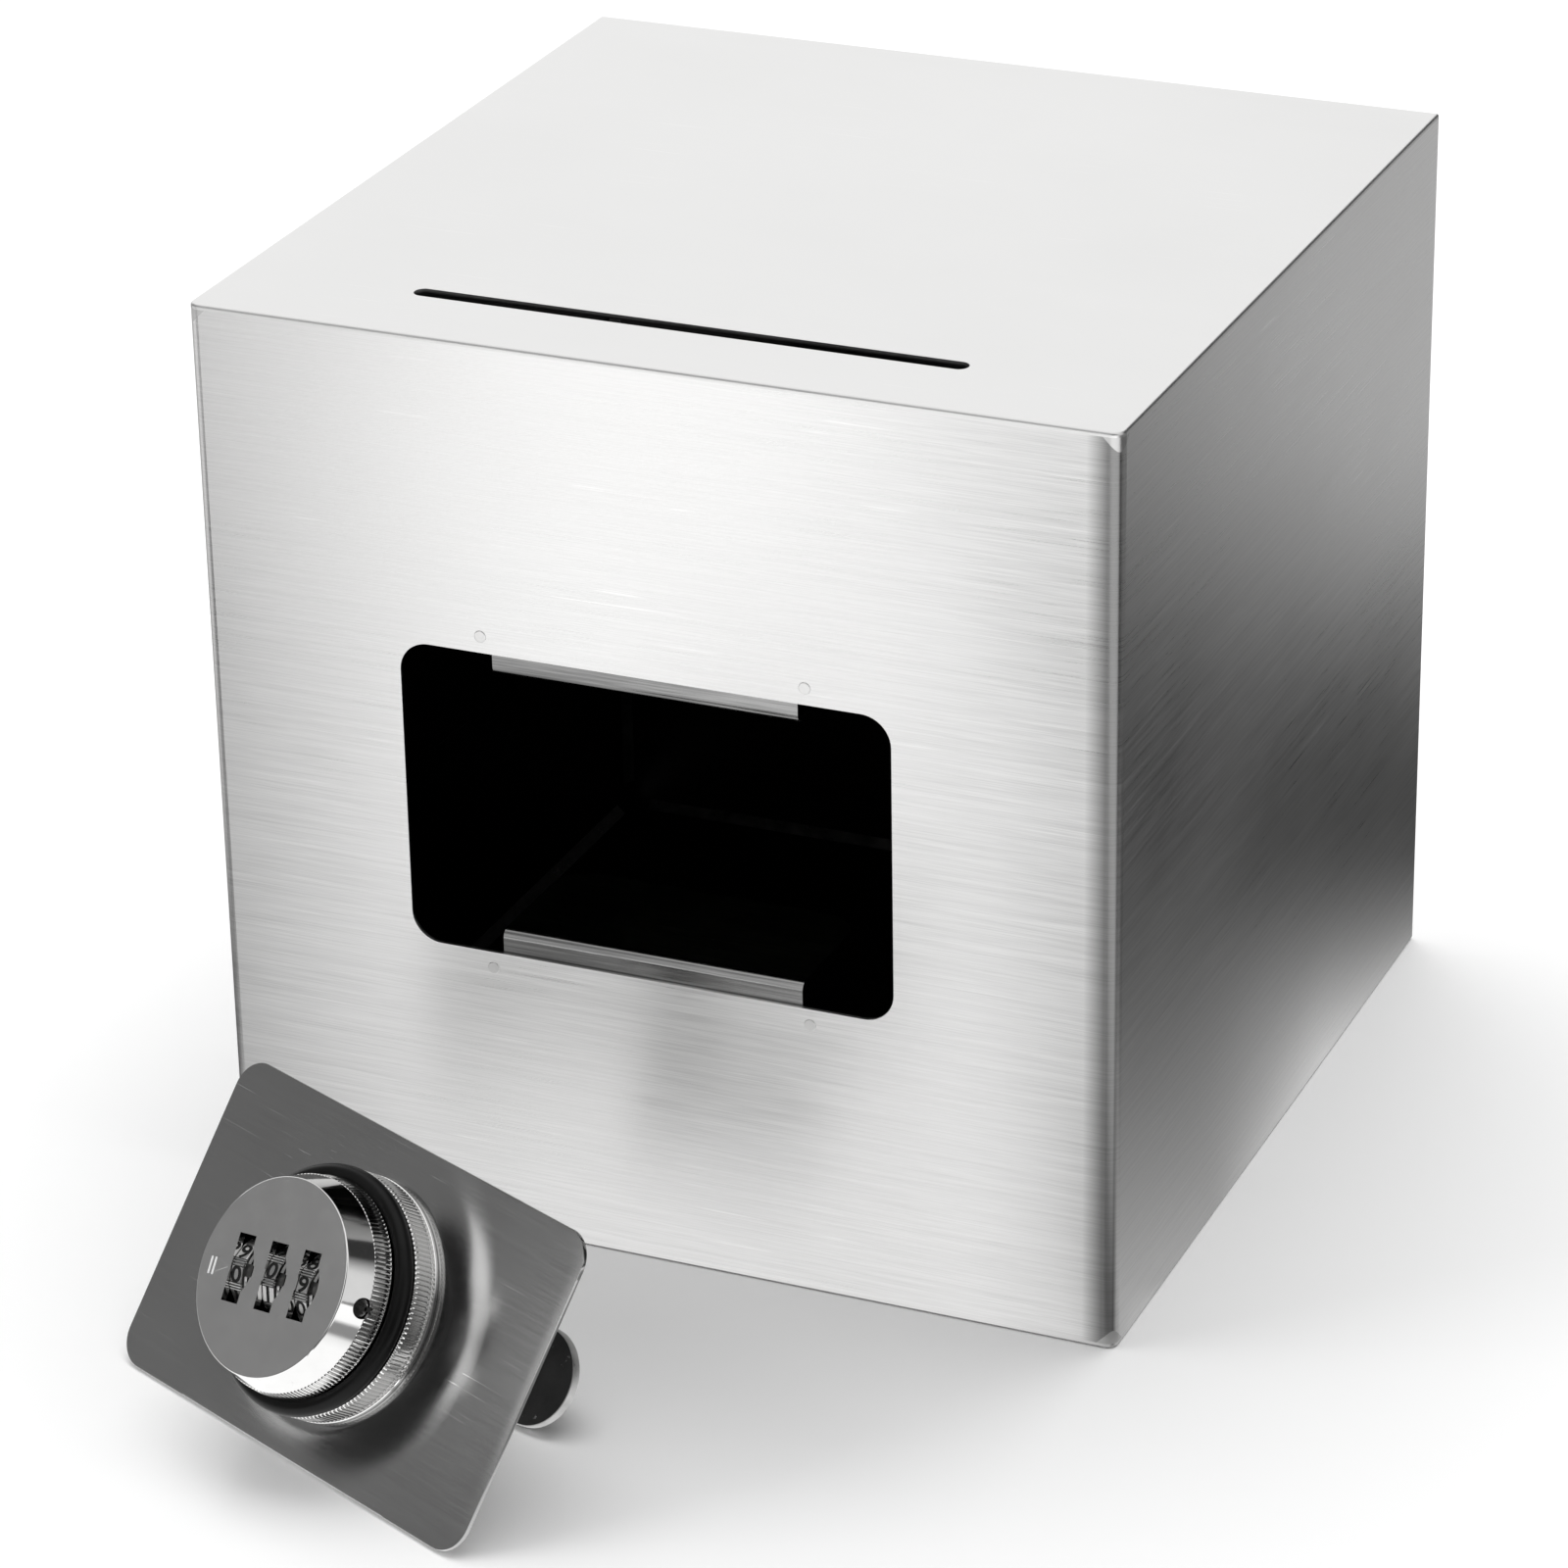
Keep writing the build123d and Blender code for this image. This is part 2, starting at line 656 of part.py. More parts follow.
with BuildPart() as change_pin:
    with BuildSketch(pin_plane.offset(pin_inner)):
        Circle(pin_flange_radius)
    extrude(amount=pin_flange_thickness)
    with BuildSketch(pin_plane.offset(pin_inner)):
        Circle(pin_radius)
    extrude(amount=pin_outer - pin_inner)
    with BuildSketch(pin_plane.offset(pin_outer)):
        Rectangle(4 * pin_radius, pin_slot_width)
    extrude(amount=-pin_slot_depth, mode=Mode.SUBTRACT)
write(change_pin.part, "change_pin")

# Drawn at its shortest, between the cheek and the pin's flange.
with BuildPart() as change_pin_spring:
    with BuildSketch(pin_plane.offset(axle_half_length + pin_spring_play)):
        Circle(pin_spring_radius)
        Circle(pin_spring_bore, mode=Mode.SUBTRACT)
    extrude(amount=pin_inner - pin_travel - axle_half_length - 2 * pin_spring_play)
write(change_pin_spring.part, "change_pin_spring")
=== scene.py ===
"""Looks of a brushed stainless cash box and its combination-lock cover, built round the CAD frame."""

import json
from math import acos, asin, cos, pi, radians, sin, sqrt, tau

import bmesh
import bpy
from mathutils import Matrix, Vector


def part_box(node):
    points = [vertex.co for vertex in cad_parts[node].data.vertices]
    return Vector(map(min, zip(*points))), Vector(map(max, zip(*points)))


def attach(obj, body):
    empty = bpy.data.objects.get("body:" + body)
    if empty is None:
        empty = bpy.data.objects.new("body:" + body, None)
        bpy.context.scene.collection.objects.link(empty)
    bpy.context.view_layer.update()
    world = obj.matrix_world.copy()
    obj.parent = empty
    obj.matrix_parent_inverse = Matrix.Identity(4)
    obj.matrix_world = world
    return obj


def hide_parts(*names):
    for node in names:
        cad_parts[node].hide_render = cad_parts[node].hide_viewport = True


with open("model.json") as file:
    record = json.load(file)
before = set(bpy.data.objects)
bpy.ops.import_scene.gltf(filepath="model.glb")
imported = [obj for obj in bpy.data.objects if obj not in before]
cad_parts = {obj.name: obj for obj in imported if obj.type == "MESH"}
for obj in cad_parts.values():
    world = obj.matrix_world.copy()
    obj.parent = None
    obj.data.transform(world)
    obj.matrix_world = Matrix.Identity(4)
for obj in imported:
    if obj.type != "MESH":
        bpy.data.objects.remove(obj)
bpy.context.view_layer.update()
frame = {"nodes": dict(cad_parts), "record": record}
MM = 0.001

# ===================================== Frames =====================================================
joints = {j["name"]: j for j in frame["record"]["behaviour"]["joints"]}
lock_origin = Vector(joints["knob_turn"]["pos_m"])
lock_out = Vector(joints["knob_turn"]["axis"]).normalized()
row = Vector(joints["wheel_2_turn"]["axis"]).normalized()
long_edge = Vector((0, 0, 1)).cross(lock_out).normalized()


def matrix_of(origin, x, z):
    """A matrix whose x and z run along two square directions."""
    y = z.cross(x).normalized()
    m = Matrix((x, y, z)).transposed().to_4x4()
    m.translation = origin
    return m


plate_frame = matrix_of(lock_origin, long_edge, lock_out)
knob_frame = matrix_of(lock_origin, row, lock_out)
box_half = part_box("top_panel")[1].x

# Depths below the box's outside, in metres, where a surface still counts as the face and where it no longer does;
# deeper in, the sheet's colour is darkened as painted shade for the box's inside.
unshaded_skin = (0.0003, 0.0009)
front_skin = (0.0003, 0.0016)
# Distances from the box's right side between which the front sheet darkens towards its bend: a painted dark
# reflection in the sheet's colour.
bend_reflection_band = (0.0072, 0.0030)

# ===================================== Node helpers ================================================


class Nodes:
    """A small builder for a material's node tree."""

    def __init__(self, name):
        self.material = bpy.data.materials.new(name)
        self.material.use_nodes = True
        self.tree = self.material.node_tree
        self.tree.nodes.clear()
        self.bsdf = self.add("ShaderNodeBsdfPrincipled")
        out = self.add("ShaderNodeOutputMaterial")
        self.link(self.bsdf.outputs[0], out.inputs[0])
        self.coords = self.add("ShaderNodeTexCoord").outputs["Object"]

    def add(self, kind, **values):
        node = self.tree.nodes.new(kind)
        for key, value in values.items():
            setattr(node, key, value)
        return node

    def link(self, a, b):
        self.tree.links.new(a, b)

    def set(self, **values):
        for key, value in values.items():
            self.bsdf.inputs[key.replace("_", " ")].default_value = value

    def mapped(self, scale, rotation=(0, 0, 0), offset=(0, 0, 0)):
        node = self.add("ShaderNodeMapping")
        node.inputs["Scale"].default_value = scale
        node.inputs["Rotation"].default_value = rotation
        node.inputs["Location"].default_value = offset
        self.link(self.coords, node.inputs["Vector"])
        return node.outputs[0]

    def noise(self, vector, scale=1.0, detail=2.0, roughness=0.5, distortion=0.0):
        node = self.add("ShaderNodeTexNoise")
        node.inputs["Scale"].default_value = scale
        node.inputs["Detail"].default_value = detail
        node.inputs["Roughness"].default_value = roughness
        node.inputs["Distortion"].default_value = distortion
        self.link(vector, node.inputs["Vector"])
        return node.outputs["Fac"]

    def ramp(self, value, *stops):
        """Map a value through (position, grey) stops."""
        node = self.add("ShaderNodeMapRange") if len(stops) == 2 else self.add("ShaderNodeValToRGB")
        if len(stops) == 2:
            (a, low), (b, high) = stops
            for key, number in (("From Min", a), ("From Max", b), ("To Min", low), ("To Max", high)):
                node.inputs[key].default_value = number
            self.link(value, node.inputs["Value"])
            return node.outputs[0]
        ramp = node.color_ramp
        while len(ramp.elements) < len(stops):
            ramp.elements.new(0.5)
        for element, (place, grey) in zip(ramp.elements, stops):
            element.position = place
            element.color = (grey, grey, grey, 1)
        self.link(value, node.inputs["Fac"])
        return node.outputs["Color"]

    def math(self, operation, a, b=None):
        node = self.add("ShaderNodeMath", operation=operation)
        for index, value in enumerate((a, b)):
            if value is None:
                continue
            if isinstance(value, (int, float)):
                node.inputs[index].default_value = value
            else:
                self.link(value, node.inputs[index])
        return node.outputs[0]

    def tinted(self, value, tint):
        """A grey value as a colour with a slight tint."""
        node = self.add("ShaderNodeMix", data_type="RGBA", blend_type="MULTIPLY")
        node.inputs["Factor"].default_value = 1.0
        node.inputs[7].default_value = (*tint, 1)
        self.link(value, node.inputs[6])
        return node.outputs[2]

    def outside(self, within):
        """1 on the box's outside, falling to a low value on its inside: painted shade for the dark inside of the
        box.
        """
        split = self.add("ShaderNodeSeparateXYZ")
        self.link(self.coords, split.inputs[0])
        x, y, z = split.outputs
        side = self.math("MAXIMUM", self.math("ABSOLUTE", x), self.math("ABSOLUTE", y))
        level = self.math("ABSOLUTE", self.math("SUBTRACT", z, box_half))
        face, under = (box_half - depth for depth in unshaded_skin)
        return self.ramp(self.math("MAXIMUM", side, level), (under, within), (face, 1.0))

    def beside_bend(self, tone):
        """1 over the front sheet, falling to a darker tone beside its right-hand bend: a painted dark reflection."""
        split = self.add("ShaderNodeSeparateXYZ")
        self.link(self.coords, split.inputs[0])
        x, y, _ = split.outputs
        across = self.ramp(x, (box_half - bend_reflection_band[0], 1.0), (box_half - bend_reflection_band[1], tone))
        on_front = self.ramp(y, (front_skin[0] - box_half, 1.0), (front_skin[1] - box_half, 0.0))
        return self.math("ADD", 1.0, self.math("MULTIPLY", self.math("SUBTRACT", across, 1.0), on_front))

    def bump(self, height, strength, distance):
        node = self.add("ShaderNodeBump")
        node.inputs["Strength"].default_value = strength
        node.inputs["Distance"].default_value = distance
        self.link(height, node.inputs["Height"])
        self.link(node.outputs[0], self.bsdf.inputs["Normal"])


def scratches(n, scale, rotation, share):
    """Sparse thin scratches: a stretched noise cut near its peak and thinned out by a slow one."""
    line = n.noise(n.mapped(scale, rotation), 1.0, 1.0)
    patch = n.noise(n.mapped((28, 28, 28), (0.4, 0.2, 0.9)), 1.0, 2.0)
    hit = n.ramp(line, (1 - share, 0.0), (1 - share + 0.05, 1.0))
    where = n.ramp(patch, (0.52, 0.0), (0.62, 1.0))
    return n.math("MULTIPLY", hit, where)


def brushed(name, grain, base, spread=0.12, rough=(0.26, 0.40), anisotropic=0.75, tangent="Z", turn=0.25,
            cloud=0.06, scratch=0.10, across=0.00024, along=0.016, lift=0.30, mark_tilt=(0, 0, 0), shaded_inside=False,
            bend_reflection_tone=None, lies_in=None):
    """Brushed sheet. grain is the axis the brushing runs along, or "XY" for round a vertical wall.

    across and along are the size of the grain in metres. lies_in is the frame of a sheet that leans."""
    n = Nodes(name)
    if lies_in:
        n.coords = n.mapped((1, 1, 1), lies_in.to_3x3().inverted().to_euler())
    fine = [1 / across] * 3
    coarse = [1 / (across * 3.2)] * 3
    for axis in grain:
        fine["XYZ".index(axis)] = 1 / along
        coarse["XYZ".index(axis)] = 1 / (along * 2.6)
    hair = n.noise(n.mapped(fine), 1.0, 3.0, 0.65)
    streak = n.noise(n.mapped(coarse), 1.0, 2.0, 0.6)
    slow = n.noise(n.mapped((9, 9, 9)), 1.0, 3.0, 0.55)
    both = n.math("ADD", n.math("MULTIPLY", hair, 0.6), n.math("MULTIPLY", streak, 0.4))
    mark_scale = [1 / 0.0005] * 3
    for axis in grain:
        mark_scale["XYZ".index(axis)] = 1 / 0.03
    marks = scratches(n, mark_scale, mark_tilt, 0.30)
    grey = n.math("ADD", n.ramp(both, (0.3, base - spread), (0.7, base + spread)),
                  n.ramp(slow, (0.3, -cloud), (0.7, cloud)))
    grey = n.math("ADD", grey, n.math("MULTIPLY", marks, scratch))
    # Painted shade: the box's inside is darkened in the sheet's colour to 0.16 of the outside.
    if shaded_inside:
        grey = n.math("MULTIPLY", grey, n.outside(0.16))
    # Painted dark reflection: the front sheet's colour darkens beside its right-hand bend.
    if bend_reflection_tone:
        grey = n.math("MULTIPLY", grey, n.beside_bend(bend_reflection_tone))
    n.link(n.tinted(grey, (1.0, 0.998, 0.992)), n.bsdf.inputs["Base Color"])
    n.set(Metallic=1.0, Anisotropic=anisotropic, Anisotropic_Rotation=turn)
    rough_value = n.math("ADD", n.ramp(both, (0.3, rough[0]), (0.7, rough[1])),
                         n.ramp(slow, (0.35, -0.03), (0.65, 0.04)))
    n.link(rough_value, n.bsdf.inputs["Roughness"])
    way = n.add("ShaderNodeTangent", direction_type="RADIAL", axis=tangent)
    n.link(way.outputs[0], n.bsdf.inputs["Tangent"])
    n.bump(both, lift, 0.00003)
    return n.material


def plated(name, base, rough, cloud, speck, bump):
    """Plated or bare metal with faint clouding, small specks and fine random scratches."""
    n = Nodes(name)
    slow = n.noise(n.mapped((160, 160, 160)), 1.0, 3.0, 0.6)
    grit = n.noise(n.mapped((2600, 2600, 2600)), 1.0, 2.0, 0.6)
    specks = n.ramp(n.noise(n.mapped((700, 700, 700)), 1.0, 1.0), (0.72, 0.0), (0.78, 1.0))
    marks = scratches(n, (1 / 0.006, 1 / 0.00025, 1 / 0.00025), (0.9, 0.2, 0.4), 0.28)
    grey = n.ramp(slow, (0.3, base - cloud), (0.7, base + cloud))
    grey = n.math("SUBTRACT", grey, n.math("MULTIPLY", specks, 0.25 * base * speck))
    grey = n.math("ADD", grey, n.math("MULTIPLY", marks, 0.12 * base))
    n.link(n.tinted(grey, (1.0, 0.997, 0.99)), n.bsdf.inputs["Base Color"])
    n.set(Metallic=1.0)
    rough_value = n.math("ADD", n.ramp(slow, (0.3, rough[0]), (0.7, rough[1])), n.math("MULTIPLY", marks, 0.15))
    n.link(rough_value, n.bsdf.inputs["Roughness"])
    n.bump(grit, bump, 0.00002)
    return n.material


def rubber(name):
    n = Nodes(name)
    grain = n.noise(n.mapped((1800, 1800, 1800)), 1.0, 3.0, 0.6)
    slow = n.noise(n.mapped((120, 120, 120)), 1.0, 2.0)
    n.link(n.tinted(n.ramp(slow, (0.3, 0.003), (0.7, 0.007)), (1, 1, 1)), n.bsdf.inputs["Base Color"])
    n.set(Specular_IOR_Level=0.16)
    n.link(n.ramp(grain, (0.3, 0.30), (0.7, 0.42)), n.bsdf.inputs["Roughness"])
    n.bump(grain, 0.12, 0.00003)
    return n.material


def coated(name, base):
    """Thin black coating on steel, worn to bare metal in specks."""
    n = Nodes(name)
    grain = n.noise(n.mapped((1500, 1500, 1500)), 1.0, 3.0, 0.6)
    slow = n.noise(n.mapped((150, 150, 150)), 1.0, 3.0)
    worn = n.ramp(n.noise(n.mapped((420, 420, 420)), 1.0, 4.0, 0.7), (0.68, 0.0), (0.75, 1.0))
    grey = n.math("ADD", n.ramp(slow, (0.3, base * 0.7), (0.7, base * 1.4)), n.math("MULTIPLY", worn, 0.22))
    n.link(n.tinted(grey, (1, 1, 1)), n.bsdf.inputs["Base Color"])
    n.set(Metallic=0.0, Specular_IOR_Level=0.2)
    n.link(n.ramp(grain, (0.3, 0.42), (0.7, 0.60)), n.bsdf.inputs["Roughness"])
    n.bump(grain, 0.15, 0.00003)
    return n.material


def painted(name, base):
    """Paint filled into a mark, a little uneven."""
    n = Nodes(name)
    slow = n.noise(n.mapped((900, 900, 900)), 1.0, 3.0)
    n.link(n.tinted(n.ramp(slow, (0.3, base * 0.88), (0.7, base)), (1, 1, 1)), n.bsdf.inputs["Base Color"])
    n.link(n.ramp(slow, (0.3, 0.35), (0.7, 0.5)), n.bsdf.inputs["Roughness"])
    n.bump(slow, 0.1, 0.00002)
    return n.material


# The walls carry painted shade on the box's inside and a painted dark reflection beside the front's right-hand bend;
# the top and bottom carry the painted shade inside.
wall_metal = brushed("wall_metal", "XY", 0.74, shaded_inside=True, bend_reflection_tone=0.34)
top_metal = brushed("top_metal", "X", 0.70, spread=0.012, rough=(0.36, 0.44), anisotropic=0.2, tangent="Y",
                    turn=0.0, cloud=0.02, scratch=0.05, lift=0.05, shaded_inside=True)
cover_metal = brushed("cover_metal", "X", 0.46, spread=0.02, rough=(0.14, 0.18), anisotropic=0.0, tangent="Z",
                      turn=0.0, cloud=0.05, scratch=0.22, lift=0.04, along=0.010, mark_tilt=(0.5, 0.3, 0.8),
                      lies_in=plate_frame)
bracket_metal = brushed("bracket_metal", "X", 0.26, spread=0.10, rough=(0.10, 0.20), anisotropic=0.5,
                        tangent="X", turn=0.0, cloud=0.10, scratch=0.2)
weld_metal = plated("weld_metal", 0.45, (0.25, 0.45), 0.10, 1.0, 0.4)
fill_metal = plated("fill_metal", 0.50, (0.25, 0.40), 0.06, 0.4, 0.25)
plug_metal = plated("plug_metal", 0.67, (0.25, 0.40), 0.06, 0.4, 0.25)
chrome = plated("lock_chrome", 0.78, (0.06, 0.12), 0.02, 0.25, 0.04)
barrel_chrome = plated("barrel_chrome", 0.66, (0.12, 0.22), 0.05, 0.4, 0.06)
steel = plated("plated_steel", 0.55, (0.20, 0.36), 0.06, 0.6, 0.15)
spring_steel = plated("spring_steel", 0.42, (0.18, 0.30), 0.05, 0.6, 0.10)
wheel_chrome = plated("wheel_chrome", 0.58, (0.26, 0.36), 0.05, 0.5, 0.06)
disc_steel = plated("disc_steel", 0.60, (0.12, 0.22), 0.08, 0.6, 0.08)
dark_metal = plated("inner_metal", 0.05, (0.35, 0.50), 0.02, 0.5, 0.2)
pin_metal = plated("pin_metal", 0.22, (0.15, 0.30), 0.05, 0.8, 0.1)
digit_paint = coated("digit_paint", 0.012)
cam_coat = coated("cam_coat", 0.018)
seal = rubber("seal_rubber")
index_paint = painted("index_paint", 0.80)
cam_rim = plated("cam_rim", 0.42, (0.32, 0.48), 0.10, 1.2, 0.5)

node_material = {
    "front_shell": wall_metal, "back_panel": wall_metal, "top_panel": top_metal, "bottom_panel": top_metal,
    "corner_weld_fills": fill_metal, "seam_weld_beads": weld_metal, "bracket_plug_welds": plug_metal,
    "upper_latch_bracket": bracket_metal, "lower_latch_bracket": bracket_metal, "cover_plate": cover_metal,
    "base_collar": chrome, "o_ring": seal, "lock_barrel": barrel_chrome, "anti_turn_washer": steel,
    "mounting_nut": steel, "knob_cap": chrome, "wheel_frame": dark_metal, "wheel_axle": steel,
    "detent_spring": spring_steel, "spindle": steel, "retaining_ring": spring_steel, "stop_washer": steel,
    "cam_bar": cam_coat, "cam_lock_washer": steel, "cam_nut": steel, "change_pin_spring": spring_steel,
    "change_pin": pin_metal,
}
for k in (1, 2, 3):
    node_material[f"number_wheel_{k}"] = wheel_chrome
    node_material[f"clutch_disc_{k}"] = disc_steel
for name, node in frame["nodes"].items():
    node.data.materials.clear()
    node.data.materials.append(node_material[name])

# ===================================== Mesh helpers =================================================
# Lock pieces are drawn in millimetres in the plate's frame (x along its long edge, z outward) or the knob's.


def piece(name, mesh, frame_matrix, body, slot, materials, *nodes, sharp=35.0):
    """Put a mesh in place, smooth between its sharp edges, riding on a body in place of CAD nodes."""
    mesh.transform(frame_matrix @ Matrix.Scale(MM, 4))
    for material in materials:
        mesh.materials.append(material)
    shape = bmesh.new()
    shape.from_mesh(mesh)
    bmesh.ops.recalc_face_normals(shape, faces=shape.faces)
    for edge in shape.edges:
        edge.smooth = edge.is_manifold and edge.calc_face_angle(0) < radians(sharp)
    for face in shape.faces:
        face.smooth = True
    shape.to_mesh(mesh)
    shape.free()
    obj = bpy.data.objects.new(name, mesh)
    bpy.context.collection.objects.link(obj)
    obj.modifiers.new("normals", "WEIGHTED_NORMAL").keep_sharp = True
    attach(obj, body)
    if nodes:
        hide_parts(*nodes)
    return obj


def mesh_of(name, vertices, faces):
    mesh = bpy.data.meshes.new(name)
    mesh.from_pydata(vertices, [], faces)
    shape = bmesh.new()
    shape.from_mesh(mesh)
    bmesh.ops.remove_doubles(shape, verts=shape.verts, dist=0.0001)
    bmesh.ops.recalc_face_normals(shape, faces=shape.faces)
    shape.to_mesh(mesh)
    shape.free()
    return mesh


def turned(name, columns, rings, radius_at=None):
    """A closed lathe shape. rings are (radius, height, depth); depth scales the knurl at that ring.

    A radius of 0 closes the shape with a point; otherwise the last ring joins the first."""
    vertices, rows = [], []
    for radius, height, depth in rings:
        if radius == 0:
            vertices.append((0, 0, height))
            rows.append([len(vertices) - 1] * columns)
            continue
        start = len(vertices)
        for c in range(columns):
            angle = tau * c / columns
            r = radius - (depth * radius_at(c) if radius_at and depth else 0)
            vertices.append((r * cos(angle), r * sin(angle), height))
        rows.append(list(range(start, start + columns)))
    faces = []
    closed = rings[0][0] != 0
    pairs = [(i, i + 1) for i in range(len(rows) - 1)] + ([(len(rows) - 1, 0)] if closed else [])
    for i, j in pairs:
        for c in range(columns):
            d = (c + 1) % columns
            loop = [rows[i][c], rows[i][d], rows[j][d], rows[j][c]]
            face = [v for k, v in enumerate(loop) if v != loop[k - 1]]
            faces.append(face)
    return mesh_of(name, vertices, faces)


def knurl(column):
    """Four columns a ridge: two on the crest, two in the valley."""
    return (0.0, 0.0, 1.0, 1.0)[column % 4]


def cut(mesh, cutter, operation="DIFFERENCE"):
    """Boolean of two meshes, worked out now."""
    target = bpy.data.objects.new("cut_target", mesh)
    tool = bpy.data.objects.new("cut_tool", cutter)
    for obj in (target, tool):
        bpy.context.collection.objects.link(obj)
    modifier = target.modifiers.new("cut", "BOOLEAN")
    modifier.operation = operation
    modifier.object = tool
    modifier.solver = "EXACT"
    modifier.material_mode = "INDEX"
    result = bpy.data.meshes.new_from_object(target.evaluated_get(bpy.context.evaluated_depsgraph_get()))
    for obj in (target, tool):
        bpy.data.objects.remove(obj)
    return result


def prism(outline, low, high, matrix=None):
    """Vertices and faces of an outline extruded between two heights."""
    n = len(outline)
    vertices = [Vector((x, y, low)) for x, y in outline] + [Vector((x, y, high)) for x, y in outline]
    if matrix:
        vertices = [matrix @ v for v in vertices]
    faces = [tuple(reversed(range(n))), tuple(range(n, 2 * n))]
    faces += [(k, (k + 1) % n, n + (k + 1) % n, n + k) for k in range(n)]
    return vertices, faces


def joined(name, *solids):
    vertices, faces = [], []
    for vs, fs in solids:
        start = len(vertices)
        vertices += [tuple(v) for v in vs]
        faces += [tuple(i + start for i in f) for f in fs]
    return mesh_of(name, vertices, faces)


def rounded(cx, cy, width, height, radius, steps=5):
    """A rectangle with round corners, counter-clockwise."""
    points = []
    for quarter, (sx, sy) in enumerate(((1, 1), (-1, 1), (-1, -1), (1, -1))):
        x, y = cx + sx * (width / 2 - radius), cy + sy * (height / 2 - radius)
        for k in range(steps + 1):
            angle = pi / 2 * (quarter + k / steps)
            points.append((x + radius * cos(angle), y + radius * sin(angle)))
    return points


def circle(cx, cy, radius, steps=48):
    return [(cx + radius * cos(tau * k / steps), cy + radius * sin(tau * k / steps)) for k in range(steps)]


# ===================================== Cover plate ===================================================
plate_size, plate_corner, sheet = (107.0, 67.0), 6.5, 1.0
boss_flat, boss_shoulder, boss_dish, boss_foot = 26.0, 4.0, 50.0, 39.0
boss_slope = asin((boss_foot - boss_flat) / (boss_dish + boss_shoulder))
boss_height = (boss_dish + boss_shoulder) * (1 - cos(boss_slope))
barrel_radius, barrel_flat = 9.1, 7.9


def boss(r):
    """Height of the drawn boss at a radius from the lock's axis."""
    turn_at = boss_flat + boss_shoulder * sin(boss_slope)
    if r <= boss_flat:
        return boss_height
    if r <= turn_at:
        return boss_height - boss_shoulder + sqrt(boss_shoulder ** 2 - (r - boss_flat) ** 2)
    if r <= boss_foot:
        return boss_dish - sqrt(boss_dish ** 2 - (boss_foot - r) ** 2)
    return 0.0


def plate_reach(angle, inset):
    """Distance from the axis to the plate's rounded outline."""
    hx, hy, rc = plate_size[0] / 2 - inset, plate_size[1] / 2 - inset, plate_corner - inset
    c, s = abs(cos(angle)), abs(sin(angle))
    reach = min(hx / c if c > 1e-9 else 1e9, hy / s if s > 1e-9 else 1e9)
    x, y = reach * c, reach * s
    if x > hx - rc and y > hy - rc:
        cx, cy = hx - rc, hy - rc
        along = c * cx + s * cy
        reach = along + sqrt(max(rc * rc - (cx * cx + cy * cy - along * along), 0))
    return reach


def cover_mesh():
    """The drawn plate as closed rings: the front from the hole outward, the eased edge, and the back inward."""
    columns = 720
    inner = [barrel_radius, 14, 20, 25, boss_flat]
    inner += [boss_flat + 0.25 * k for k in range(1, 5)] + [27.5 + 0.75 * k for k in range(16)]
    outer_share = [0.3, 0.6, 0.85, 1.0]
    lip, back_lip = 0.14, 0.08
    vertices, rows = [], []

    def ring(radii, heights):
        rows.append(range(len(vertices), len(vertices) + columns))
        for c in range(columns):
            angle = tau * c / columns
            x, y = radii[c] * cos(angle), radii[c] * sin(angle)
            if radii[c] <= barrel_radius:
                y = max(-barrel_flat, min(barrel_flat, y))
            vertices.append((x, y, heights[c]))

    def outline(inset):
        return [plate_reach(tau * c / columns, inset) for c in range(columns)]

    def squeezed(r, limit):
        """A ring's radius, drawn in where the plate's edge is nearer than the boss's foot."""
        return min(r, limit * r / boss_foot) if limit < boss_foot else r

    def face_rings(depth):
        done = []
        for r in inner:
            radii = [squeezed(r, limit) for limit in eased]
            done.append((radii, [boss(q) - depth for q in radii]))
        for share in outer_share:
            radii = []
            for limit in eased:
                base = squeezed(inner[-1], limit)
                radii.append(base + (limit - base) * share)
            done.append((radii, [boss(q) - depth for q in radii]))
        return done

    eased, full = outline(lip), outline(0.0)
    edge_high = [boss(q) for q in full]
    for radii, heights in face_rings(0.0):
        ring(radii, heights)
    ring(outline(lip * 0.3), [h - lip * 0.3 for h in edge_high])
    ring(full, [h - lip for h in edge_high])
    ring(full, [h - sheet + back_lip for h in edge_high])
    ring(outline(back_lip), [h - sheet for h in edge_high])
    for radii, heights in reversed(face_rings(sheet)):
        ring(radii, heights)
    faces = []
    for i in range(len(rows)):
        j = (i + 1) % len(rows)
        for c in range(columns):
            d = (c + 1) % columns
            faces.append((rows[i][c], rows[i][d], rows[j][d], rows[j][c]))
    return mesh_of("cover_plate_shape", vertices, faces)


piece("cover_plate_drawn", cover_mesh(), plate_frame, "cover", "cover_sheet", [cover_metal], "cover_plate", sharp=30)

# ===================================== Collar and O-ring ================================================
collar_ridges, knob_ridges, knurl_depth = 155, 150, 0.55
knurl_sharp = 14
collar_hole, collar_bore, collar_radius, collar_floor, collar_top = 9.2, 21.6, 25.2, 3.0, 8.05
collar_profile = [
    (collar_hole, boss_height, 0), (24.9, boss_height, 0), (collar_radius, boss_height + 0.25, 0),
    (collar_radius, 2.3, 0), (25.05, 2.42, 0), (24.55, 2.5, 0), (24.55, 2.75, 0), (24.9, 2.85, 0.2),
    (collar_radius, 3.1, knurl_depth), (collar_radius, 7.3, knurl_depth), (25.0, 7.75, 0.3), (24.75, 7.98, 0),
    (24.5, collar_top, 0), (collar_bore, collar_top, 0), (collar_bore, collar_floor, 0),
    (collar_hole, collar_floor, 0),
]
